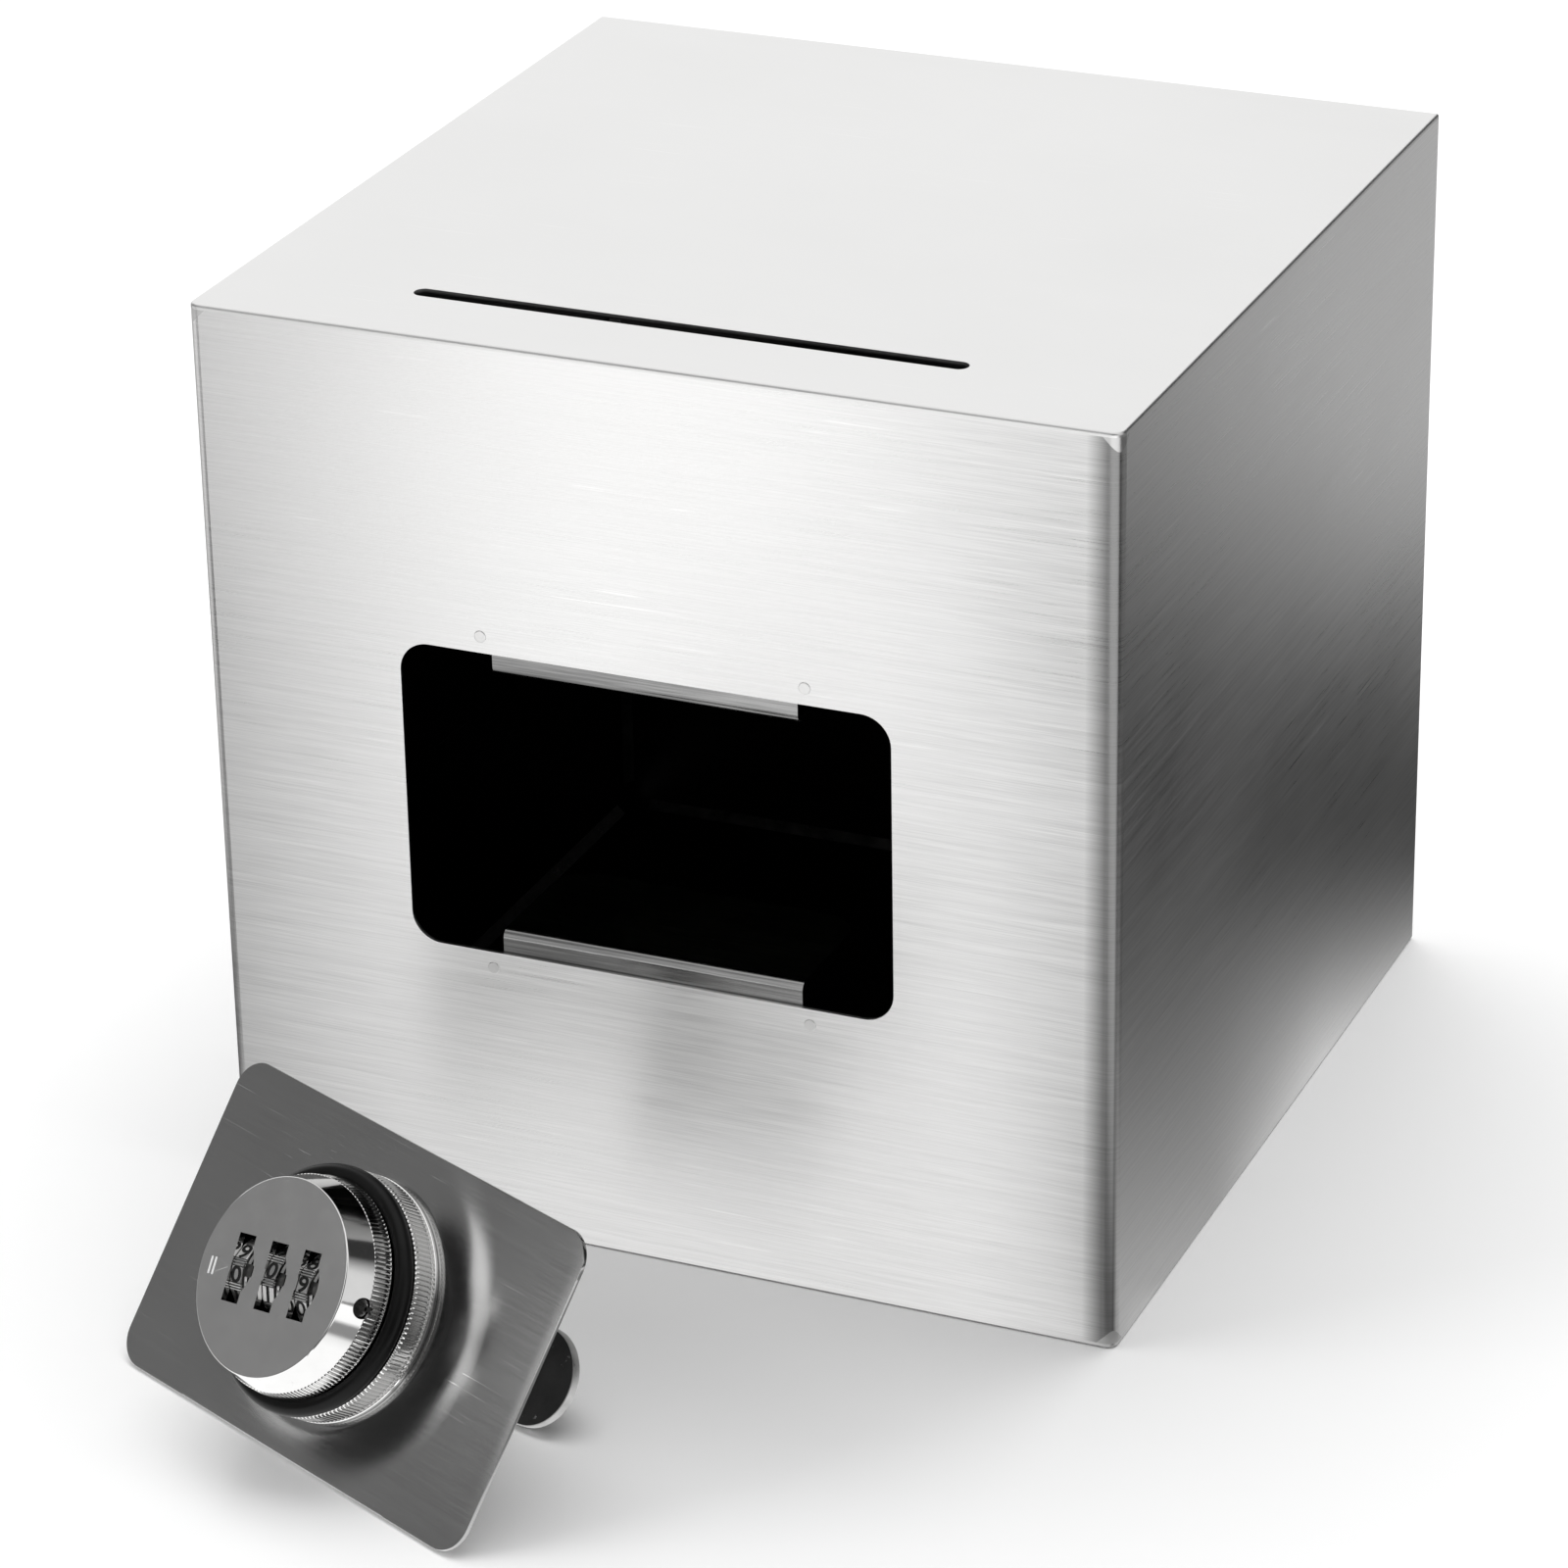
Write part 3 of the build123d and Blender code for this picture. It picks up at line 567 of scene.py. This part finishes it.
piece("collar_knurled", turned("collar", 4 * collar_ridges, collar_profile, knurl), plate_frame, "cover",
      "lock_chrome", [chrome], "base_collar", sharp=knurl_sharp)
o_ring_middle, o_ring_height, o_ring_wire, o_ring_steps = 23.5, 9.9, 1.85, 32
ring_points = [(o_ring_middle + o_ring_wire * cos(tau * k / o_ring_steps),
                o_ring_height + o_ring_wire * sin(tau * k / o_ring_steps), 0) for k in range(o_ring_steps)]
piece("o_ring_round", turned("o_ring", 192, ring_points), plate_frame, "cover", "seal_rubber", [seal], "o_ring")

# ===================================== Knob =============================================================
knob_top, band_low, skirt_low, sleeve_low, knob_ceiling = 22.3, 16.4, 12.0, 3.4, 20.8
sleeve_outside, sleeve_inside = 21.2, 19.0
knob_mesh = turned("knob", 4 * knob_ridges, [
    (0, knob_top, 0), (19.72, knob_top, 0), (19.9, knob_top - 0.03, 0), (20.03, knob_top - 0.12, 0),
    (20.12, knob_top - 0.3, 0), (21.78, band_low + 0.07, 0), (21.8, band_low, 0), (21.93, band_low - 0.08, 0.1),
    (22.05, band_low - 0.5, knurl_depth), (22.6, 12.45, knurl_depth), (22.45, 12.12, 0.4), (22.2, skirt_low, 0),
    (sleeve_outside, skirt_low, 0), (sleeve_outside, sleeve_low, 0), (sleeve_inside, sleeve_low, 0),
    (sleeve_inside, knob_ceiling, 0), (0, knob_ceiling, 0),
], knurl)
wheel_pitch = 9.3
window = (4.6, 13.75)
window_places = (-wheel_pitch, 0.0, wheel_pitch)
relief_radius, relief_offset = 7.4, -3.65
cut_low, cut_high = 20.0, 23.0
mark_depth = 0.3
index_bars = (-17.2, -16.1)
groove_places = (-4.65, 4.65)
pin_hole, pin_height, pin_bearing = 2.1, 17.3, radians(-3.0)


def window_outline(x):
    """A window with the rounded relief for the disc on its right."""
    half_x, half_y = window[0] / 2, window[1] / 2
    meet = acos((half_x - relief_offset) / relief_radius)
    bulge = [(x + relief_offset + relief_radius * cos(a), relief_radius * sin(a))
             for a in (meet * (k / 8 - 1) for k in range(17))]
    corners = [(x + half_x, half_y), (x - half_x, half_y), (x - half_x, -half_y), (x + half_x, -half_y)]
    return corners + bulge


def bar_outline(x):
    return rounded(x, -0.8, 0.55, 3.6, 0.2)


face_cuts = [prism(window_outline(x), cut_low, cut_high) for x in window_places]
face_cuts += [prism(bar_outline(x), knob_top - mark_depth, cut_high) for x in index_bars]
groove_cuts = [prism(rounded(x, 0, 4.9, 2.3, 0.05), knob_top - mark_depth, cut_high + 0.5) for x in groove_places]
pin_way = Vector((cos(pin_bearing), sin(pin_bearing), 0))
pin_matrix = matrix_of(Vector((0, 0, pin_height)), Vector((0, 0, 1)), pin_way)
pin_cut = prism(circle(0, 0, pin_hole, 64), 18.0, 24.0, pin_matrix)


def thin_line(x0, y0, x1, y1, width, low, high):
    """A straight cut of one width between two points."""
    way = Vector((x1 - x0, y1 - y0)).normalized() * width / 2
    side = Vector((-way.y, way.x))
    return prism([(x0 - side.x, y0 - side.y), (x1 - side.x, y1 - side.y), (x1 + side.x, y1 + side.y),
                  (x0 + side.x, y0 + side.y)], low, high)


# The cutters of one cut never touch each other, so the two strokes of the arrow are cut one after the other.
arrow = [thin_line(-15.5, y, -12.3, -0.35, 0.16, knob_top - 0.08, cut_high) for y in (1.15, -1.9)]
for solids in (face_cuts, groove_cuts, [pin_cut], [arrow[0]], [arrow[1]]):
    knob_mesh = cut(knob_mesh, joined("knob_cut", *solids))
piece("knob_knurled", knob_mesh, knob_frame, "lock_core", "lock_chrome", [chrome], "knob_cap", sharp=knurl_sharp)
marks = joined("index_paint", *[prism(bar_outline(x), knob_top - 0.299, knob_top - 0.02) for x in index_bars])
piece("index_paint", marks, knob_frame, "lock_core", "lock_chrome", [index_paint])

# ===================================== Number wheels ======================================================
wheel_radius_low, wheel_facet, wheel_crest = 7.45, 7.72, 7.97
wheel_half, wheel_rim, wheel_ease, wheel_bore, wheel_shift = 1.55, 1.41, 0.14, 2.06, 0.6
digit_step, facet_half = 36, 11.5
axle_height = 14.3
axle_matrix = matrix_of(Vector((0, 0, axle_height)), Vector((0, 0, 1)), Vector((1, 0, 0)))
# Bearings from a digit's middle, in degrees, and what is there: 0 the facet, 1 the valley, 2 a rib.
notches = ((-facet_half, 0), (facet_half, 0), (12.3, 1), (13.1, 2), (14.7, 2), (15.5, 1), (16.4, 1), (17.2, 2),
           (18.8, 2), (19.6, 1), (20.5, 1), (21.3, 2), (22.9, 2), (23.7, 1))
wheel_outline = []
for digit in range(10):
    for offset, kind in notches:
        reach = (wheel_facet / cos(radians(facet_half)), wheel_radius_low, wheel_crest)[kind]
        wheel_outline.append((digit_step * digit + offset, reach))


def wheel_mesh(middle, rest_turn):
    """A wheel round the axle, in the axle's frame, with its rims eased."""
    count = len(wheel_outline)
    layers = ((-wheel_half, -wheel_ease), (-wheel_rim, 0.0), (wheel_rim, 0.0), (wheel_half, -wheel_ease))
    vertices, rows = [], []
    for z, ease in layers:
        rows.append(list(range(len(vertices), len(vertices) + count)))
        for angle, reach in wheel_outline:
            t = radians(angle + rest_turn)
            vertices.append(((reach + ease) * cos(t), (reach + ease) * sin(t), middle + z))
    for z in (wheel_half, -wheel_half):
        rows.append(list(range(len(vertices), len(vertices) + count)))
        for angle, reach in wheel_outline:
            t = radians(angle + rest_turn)
            vertices.append((wheel_bore * cos(t), wheel_bore * sin(t), middle + z))
    faces = []
    for i in range(6):
        j = (i + 1) % 6
        for c in range(count):
            d = (c + 1) % count
            faces.append((rows[i][c], rows[i][d], rows[j][d], rows[j][c]))
    return [Vector(v) for v in vertices], faces


def digit_solids(middle, rest_turn):
    """The ten digits as solids that cut into the facets, growing downward on the knob."""
    solids = []
    for digit in range(10):
        text = bpy.data.curves.new("digit", "FONT")
        text.body = str(digit)
        text.align_x, text.align_y = "CENTER", "CENTER"
        text.size = digit_size
        text.extrude = 0.25
        text.offset = digit_weight
        text.resolution_u = 4
        holder = bpy.data.objects.new("digit", text)
        bpy.context.collection.objects.link(holder)
        bpy.context.view_layer.update()
        shape = bpy.data.meshes.new_from_object(holder.evaluated_get(bpy.context.evaluated_depsgraph_get()))
        bpy.data.objects.remove(holder)
        xs = [v.co.x for v in shape.vertices]
        ys = [v.co.y for v in shape.vertices]
        cx, cy = (min(xs) + max(xs)) / 2, (min(ys) + max(ys)) / 2
        t = radians(rest_turn + digit_step * digit)
        out = Vector((cos(t), sin(t), 0))
        up = Vector((sin(t), -cos(t), 0))
        across = Vector((0, 0, 1))
        place = [out * (wheel_facet + 0.1 + v.co.z) + up * (v.co.y - cy)
                 + across * ((v.co.x - cx) * digit_spread + middle) for v in shape.vertices]
        solids.append((place, [tuple(f.vertices) for f in shape.polygons]))
    return solids


def two_tone(mesh, index):
    """Give a mesh the wheel's two materials, and all its faces one of them."""
    for material in (wheel_chrome, digit_paint):
        mesh.materials.append(material)
    for polygon in mesh.polygons:
        polygon.material_index = index
    return mesh


digit_size, digit_weight, digit_spread = 4.6, 0.12, 1.25
rest_turns = (9.5, -9.5, -1.5)
rest_digits = (0, 0, 9)
for k in (1, 2, 3):
    centre = (k - 2) * wheel_pitch - wheel_shift
    wheel = two_tone(joined("wheel", wheel_mesh(centre, rest_turns[k - 1])), 0)
    digits = digit_solids(centre, rest_turns[k - 1] - digit_step * rest_digits[k - 1])
    mesh = cut(wheel, two_tone(joined("digits", *digits), 1))
    mesh.transform(axle_matrix)
    piece(f"wheel_{k}_digits", mesh, knob_frame, f"wheel_{k}", "wheel_chrome", [],
          f"number_wheel_{k}", sharp=25)

# ===================================== Barrel, nuts and cam ================================================


def threaded(name, columns, radius, depth, pitch, low, high, flat, ends):
    """A threaded tube with two flats between two heights. ends are the (radius, height) rings of its inside."""
    step = pitch / 4
    count = int(round((high - low) / step))
    vertices, rows = [], []

    def ring(radius_of, height):
        rows.append(list(range(len(vertices), len(vertices) + columns)))
        for c in range(columns):
            t = tau * c / columns
            r = radius_of(c)
            vertices.append((r * cos(t), max(-flat, min(flat, r * sin(t))), height))

    for k in range(count + 1):
        height = low + (high - low) * k / count
        fade = min(1.0, k / 3, (count - k) / 3)

        def thread_radius(c, height=height, fade=fade):
            phase = (height / pitch - c / columns) % 1.0
            return radius - depth * fade * (1 - abs(2 * phase - 1))

        ring(thread_radius, height)
    for r, height in ends:
        ring(lambda c, r=r: r, height)
    faces = []
    for i in range(len(rows)):
        j = (i + 1) % len(rows)
        for c in range(columns):
            d = (c + 1) % columns
            faces.append((rows[i][c], rows[i][d], rows[j][d], rows[j][c]))
    return mesh_of(name, vertices, faces)


barrel_top, barrel_end, step_at, spindle_bore, step_bore = 3.0, -32.8, -30.4, 5.08, 6.9
barrel = threaded("barrel", columns=144, radius=9.0, depth=0.45, pitch=1.25, low=barrel_end, high=barrel_top,
                  flat=7.8,
                  ends=((spindle_bore, barrel_top), (spindle_bore, step_at), (step_bore, step_at),
                        (step_bore, barrel_end)))
# A quarter of the barrel's end is cut away, which leaves the stop for the washer's ear.
ear_room = 2.05
sector_outline = [(-12, -ear_room), (ear_room, -ear_room), (ear_room, 12), (-12, 12)]
sector = joined("sector", prism(sector_outline, -34.0, step_at))
barrel = cut(barrel, sector)
piece("barrel_threaded", barrel, plate_frame, "cover", "barrel_chrome", [barrel_chrome], "lock_barrel", sharp=30)


def nut_mesh(name, across_flats, thickness, hole, top):
    """A hexagon nut with both faces chamfered, its upper face at a height. A ring of radius None is the hexagon."""
    columns = 144
    vertices, rows = [], []
    in_circle = across_flats / 2
    chamfer_from = in_circle * 0.97
    spec = ((hole, 0.0), (chamfer_from, 0.0), (None, 0.0), (None, -1.0), (chamfer_from, -1.0), (hole, -1.0))
    for r, level in spec:
        rows.append(list(range(len(vertices), len(vertices) + columns)))
        for c in range(columns):
            t = tau * c / columns
            hexagon = in_circle / cos((t % (tau / 6)) - tau / 12)
            reach = hexagon if r is None else r
            drop = (hexagon - chamfer_from) * 0.5 if r is None else 0.0
            z = top - drop if level == 0.0 else top - thickness + drop
            vertices.append((reach * cos(t), reach * sin(t), z))
    faces = []
    for i in range(6):
        j = (i + 1) % 6
        for c in range(columns):
            d = (c + 1) % columns
            faces.append((rows[i][c], rows[i][d], rows[j][d], rows[j][c]))
    return mesh_of(name, vertices, faces)


mounting_nut = nut_mesh("mounting_nut", across_flats=24.0, thickness=6.0, hole=9.0, top=boss_height - 2.0)
piece("mounting_nut_hex", mounting_nut, plate_frame, "cover", "plated_steel", [steel], "mounting_nut", sharp=25)
cam_nut = nut_mesh("cam_nut", across_flats=10.0, thickness=4.5, hole=3.0, top=-35.7)
piece("cam_nut_hex", cam_nut, plate_frame, "lock_core", "plated_steel", [steel], "cam_nut", sharp=25)


def cam_mesh():
    """The cam bar: round at the axis and at its tip, edges eased, with a square hole."""
    half, reach = 10.25, 44.25 - 20.5
    near, far, hole_half = -33.0, -35.0, 3.5
    steps = 48
    outline = [(reach + half * cos(t), half * sin(t)) for t in (-pi / 2 + pi * k / steps for k in range(steps + 1))]
    outline += [(half * cos(t), half * sin(t)) for t in (pi / 2 + pi * k / steps for k in range(steps + 1))]
    n = len(outline)
    hole = [(hole_half * x, hole_half * y) for x, y in ((1, -1), (1, 1), (-1, 1), (-1, -1))]
    shape = bmesh.new()
    layers = []
    for z, ease in ((near, 0.25), (-33.08, 0.08), (-33.3, 0.0), (-34.8, 0.0), (far, 0.1)):
        layer = []
        for x, y in outline:
            cx = max(0.0, min(reach, x))
            way = Vector((x - cx, y))
            way = way.normalized() * (half - ease)
            layer.append(shape.verts.new((cx + way.x, way.y, z)))
        layers.append(layer)
    for upper, lower in zip(layers, layers[1:]):
        for k in range(n):
            face = shape.faces.new((upper[k], upper[(k + 1) % n], lower[(k + 1) % n], lower[k]))
            face.material_index = 1
    holes = [[shape.verts.new((x, y, z)) for x, y in hole] for z in (near, far)]
    for k in range(4):
        shape.faces.new((holes[0][k], holes[0][(k + 1) % 4], holes[1][(k + 1) % 4], holes[1][k]))
    for layer, ring in ((layers[0], holes[0]), (layers[-1], holes[1])):
        edges = []
        for loop in (layer, ring):
            for k in range(len(loop)):
                a, b = loop[k], loop[(k + 1) % len(loop)]
                edges.append(shape.edges.get((a, b)) or shape.edges.new((a, b)))
        bmesh.ops.triangle_fill(shape, use_beauty=True, use_dissolve=True, edges=edges)
    mesh = bpy.data.meshes.new("cam")
    shape.to_mesh(mesh)
    shape.free()
    return mesh


piece("cam_bar_sheared", cam_mesh(), plate_frame, "lock_core", "cam_black", [cam_coat, cam_rim], "cam_bar", sharp=40)

# ===================================== Stage ========================================================


def stage_mesh(name, mesh, material, reflected_only=False):
    """A stage object. One that is only seen in reflections shapes what the metal mirrors."""
    mesh.materials.append(material)
    card = bpy.data.objects.new(name, mesh)
    bpy.context.collection.objects.link(card)
    if reflected_only:
        card.visible_camera = False
        card.visible_diffuse = False
        card.visible_shadow = False
        card.visible_transmission = False


def flat(name, centre, x, y):
    """A flat rectangle from its middle and its two half sides."""
    mesh = bpy.data.meshes.new(name)
    c, x, y = Vector(centre), Vector(x), Vector(y)
    mesh.from_pydata([c - x - y, c + x - y, c + x + y, c - x + y], [], [(0, 1, 2, 3)])
    return mesh


class Glow(Nodes):
    """Emission that varies over a stage object, with a mask that lets the rest show through."""

    def __init__(self, name):
        super().__init__(name)
        self.tree.nodes.remove(self.bsdf)
        self.light = self.add("ShaderNodeEmission")
        self.mix = self.add("ShaderNodeMixShader")
        clear = self.add("ShaderNodeBsdfTransparent")
        self.link(clear.outputs[0], self.mix.inputs[1])
        self.link(self.light.outputs[0], self.mix.inputs[2])
        out = next(n for n in self.tree.nodes if n.type == "OUTPUT_MATERIAL")
        self.link(self.mix.outputs[0], out.inputs[0])
        self.mix.inputs[0].default_value = 1.0
        self.material.cycles.emission_sampling = "NONE"
        split = self.add("ShaderNodeSeparateXYZ")
        self.link(self.coords, split.inputs[0])
        self.x, self.y, self.z = split.outputs

    def steps(self, value, low, high, *stops):
        """Piecewise-linear curve of a value between low and high; stops are (value, result)."""
        unit = self.ramp(value, (low, 0.0), (high, 1.0))
        return self.ramp(unit, *[((v - low) / (high - low), grey) for v, grey in stops])


floor_material = bpy.data.materials.new("floor")
floor_material.use_nodes = True
floor_bsdf = floor_material.node_tree.nodes["Principled BSDF"]
floor_bsdf.inputs["Base Color"].default_value = (0.92, 0.92, 0.92, 1)
floor_bsdf.inputs["Specular IOR Level"].default_value = 0.0
floor_bsdf.inputs["Roughness"].default_value = 0.8
stage_mesh("floor", flat("floor", (0, 0, -0.0002), (6, 0, 0), (0, 6, 0)), floor_material)

# A glow on the floor, seen only in the metal. In front of the box it is light, with darker ends to the left and the
# right. Beside and behind the box it is dark at one distance from the side, and lighter nearer and farther away.
ground = Glow("ground")
front_level, side_level = 1.5, 1.45
foot = ground.math("SUBTRACT", ground.x, ground.math("MULTIPLY", ground.math("ADD", ground.y, 0.1), 0.45))
reach = ground.steps(ground.y, -1.0, 0.0, (-1.0, 1.2), (-0.5, 1.16), (-0.35, 0.92), (-0.2, 0.82), (-0.1, 0.72))
drift = ground.steps(ground.y, -1.0, 0.0, (-1.0, 0.08), (-0.46, 0.065), (-0.32, 0.0), (0.0, 0.0))
left = ground.steps(ground.math("ADD", foot, drift), -0.4, 0.4, (-0.4, 0.7), (-0.3, 0.6), (-0.22, 0.12),
                    (-0.15, 0.14), (-0.11, 0.42), (-0.085, 0.62), (-0.055, 0.9), (-0.03, 1.0), (0.4, 1.0))
right = ground.steps(foot, -0.4, 0.4, (-0.4, 1.0), (0.07, 1.0), (0.092, 0.84), (0.104, 0.25), (0.15, 0.25),
                     (0.18, 1.0), (0.4, 1.0))
front = ground.math("MULTIPLY", ground.math("MULTIPLY", reach, ground.math("MULTIPLY", left, right)), front_level)
rise = ground.math("ADD", ground.math("MULTIPLY", ground.math("SUBTRACT", ground.x, 0.1), 0.375),
                   ground.math("ADD", ground.math("MULTIPLY", ground.y, 0.35), 0.0315))
behind = ground.steps(rise, -0.05, 0.65, (-0.05, 1.1), (0.01, 0.95), (0.045, 0.55), (0.07, 0.20), (0.085, 0.06),
                      (0.10, 0.03), (0.14, 0.03), (0.16, 0.14), (0.18, 0.34), (0.22, 0.44), (0.32, 0.42),
                      (0.65, 0.42))
lean = ground.math("SUBTRACT", ground.x, ground.math("MULTIPLY", ground.y, 0.42))
along_side = ground.steps(lean, -0.2, 0.3, (-0.2, 1.0), (0.03, 1.0), (0.06, 1.1), (0.085, 1.0), (0.10, 0.65),
                          (0.116, 0.36), (0.3, 0.36))
behind = ground.math("MULTIPLY", behind, ground.math("MULTIPLY", side_level, along_side))
rearward = ground.math("ADD", ground.y, ground.math("MULTIPLY", ground.x, 0.4))
at_back = ground.steps(rearward, -0.2, 0.2, (-0.07, 0.0), (-0.03, 1.0))
blend = ground.add("ShaderNodeMix", data_type="FLOAT")
ground.link(at_back, blend.inputs["Factor"])
ground.link(front, blend.inputs[2])
ground.link(behind, blend.inputs[3])
ground.link(blend.outputs[0], ground.light.inputs["Strength"])
stage_mesh("ground_glow", flat("ground_glow", (0, 0, 0.0004), (5, 0, 0), (0, 5, 0)), ground.material, True)

# The room, seen only in the metal: bright behind and overhead, dark at the left and at the back right.
# The ring is its brightness by bearing, in degrees from straight in front, rightward.
dome_radius, overhead_level = 4.0, 1.15
room_ring = (
    (-180, 1.25), (-125, 1.25), (-105, 0.26), (-62, 0.26), (-58, 0.03), (-36, 0.04), (-31, 0.5), (-27, 1.1),
    (-20, 1.0), (-15, 0.15), (40, 0.12), (60, 0.9), (95, 0.8), (108, 0.04), (168, 0.03), (178, 0.8), (180, 1.25),
)
room = Glow("room")
azimuth = room.math("ARCTAN2", room.x, room.math("MULTIPLY", room.y, -1.0))
level = room.steps(azimuth, -pi, pi, *[(radians(a), v) for a, v in room_ring])
height = room.math("ARCSINE", room.math("DIVIDE", room.z, dome_radius))
high = room.steps(height, 0.0, pi / 2, (radians(45), 0.0), (radians(65), 1.0))
blend = room.add("ShaderNodeMix", data_type="FLOAT")
room.link(high, blend.inputs["Factor"])
room.link(level, blend.inputs[2])
blend.inputs[3].default_value = overhead_level
room.link(blend.outputs[0], room.light.inputs["Strength"])
dome = bpy.data.meshes.new("room")
shape = bmesh.new()
bmesh.ops.create_uvsphere(shape, u_segments=96, v_segments=48, radius=dome_radius)
shape.to_mesh(dome)
shape.free()
stage_mesh("room", dome, room.material, True)


def strip(name, bearing, elevation, width, tall, strength, distance=1.2):
    """A softbox seen only in reflections, at a bearing from the lock."""
    a, e = radians(bearing), radians(elevation)
    way = Vector((sin(a) * cos(e), -cos(a) * cos(e), sin(e)))
    side = Vector((0, 0, 1)).cross(way).normalized()
    up = way.cross(side)
    glow = Glow(name)
    glow.light.inputs["Strength"].default_value = strength
    centre = lock_origin + way * distance
    stage_mesh(name, flat(name, centre, side * width / 2, up * tall / 2), glow.material, True)


strip("strip_left", -61.5, 25, 0.15, 0.24, 1.5)

world = bpy.data.worlds.new("studio")
bpy.context.scene.world = world
world.use_nodes = True
background = world.node_tree.nodes["Background"]
background.inputs["Color"].default_value = (0.8, 0.8, 0.8, 1)
background.inputs["Strength"].default_value = 0.6


def softbox(name, place, target, width, height, power):
    """An area light that only the surfaces see."""
    data = bpy.data.lights.new(name, "AREA")
    data.shape = "RECTANGLE"
    data.size, data.size_y = width, height
    data.energy = power
    light = bpy.data.objects.new(name, data)
    bpy.context.collection.objects.link(light)
    light.location = place
    light.rotation_mode = "QUATERNION"
    light.rotation_quaternion = (Vector(target) - Vector(place)).to_track_quat("-Z", "Y")
    light.visible_camera = False
    light.visible_glossy = False


softbox("overhead", (0.0, 0.4, 1.5), (0, 0, 0), 1.6, 1.4, 22)
softbox("left", (-1.3, -0.9, 0.9), (0, 0, 0.1), 0.9, 0.9, 8)

# ===================================== Camera =======================================================
camera_data = bpy.data.cameras.new("camera")
camera = bpy.data.objects.new("camera", camera_data)
bpy.context.collection.objects.link(camera)
camera_data.sensor_width = 36.0
camera_data.lens = 134.6
camera_data.clip_start, camera_data.clip_end = 0.05, 60
camera_place = Vector((0.45024, -1.06832, 0.61250))
right = Vector((0.91997, 0.39163, -0.01658))
forward = Vector((-0.36084, 0.82961, -0.42609)).normalized()
right = (right - forward * right.dot(forward)).normalized()
camera.matrix_world = matrix_of(camera_place, right, -forward)
bpy.context.scene.camera = camera
bpy.context.scene.view_settings.view_transform = "Standard"
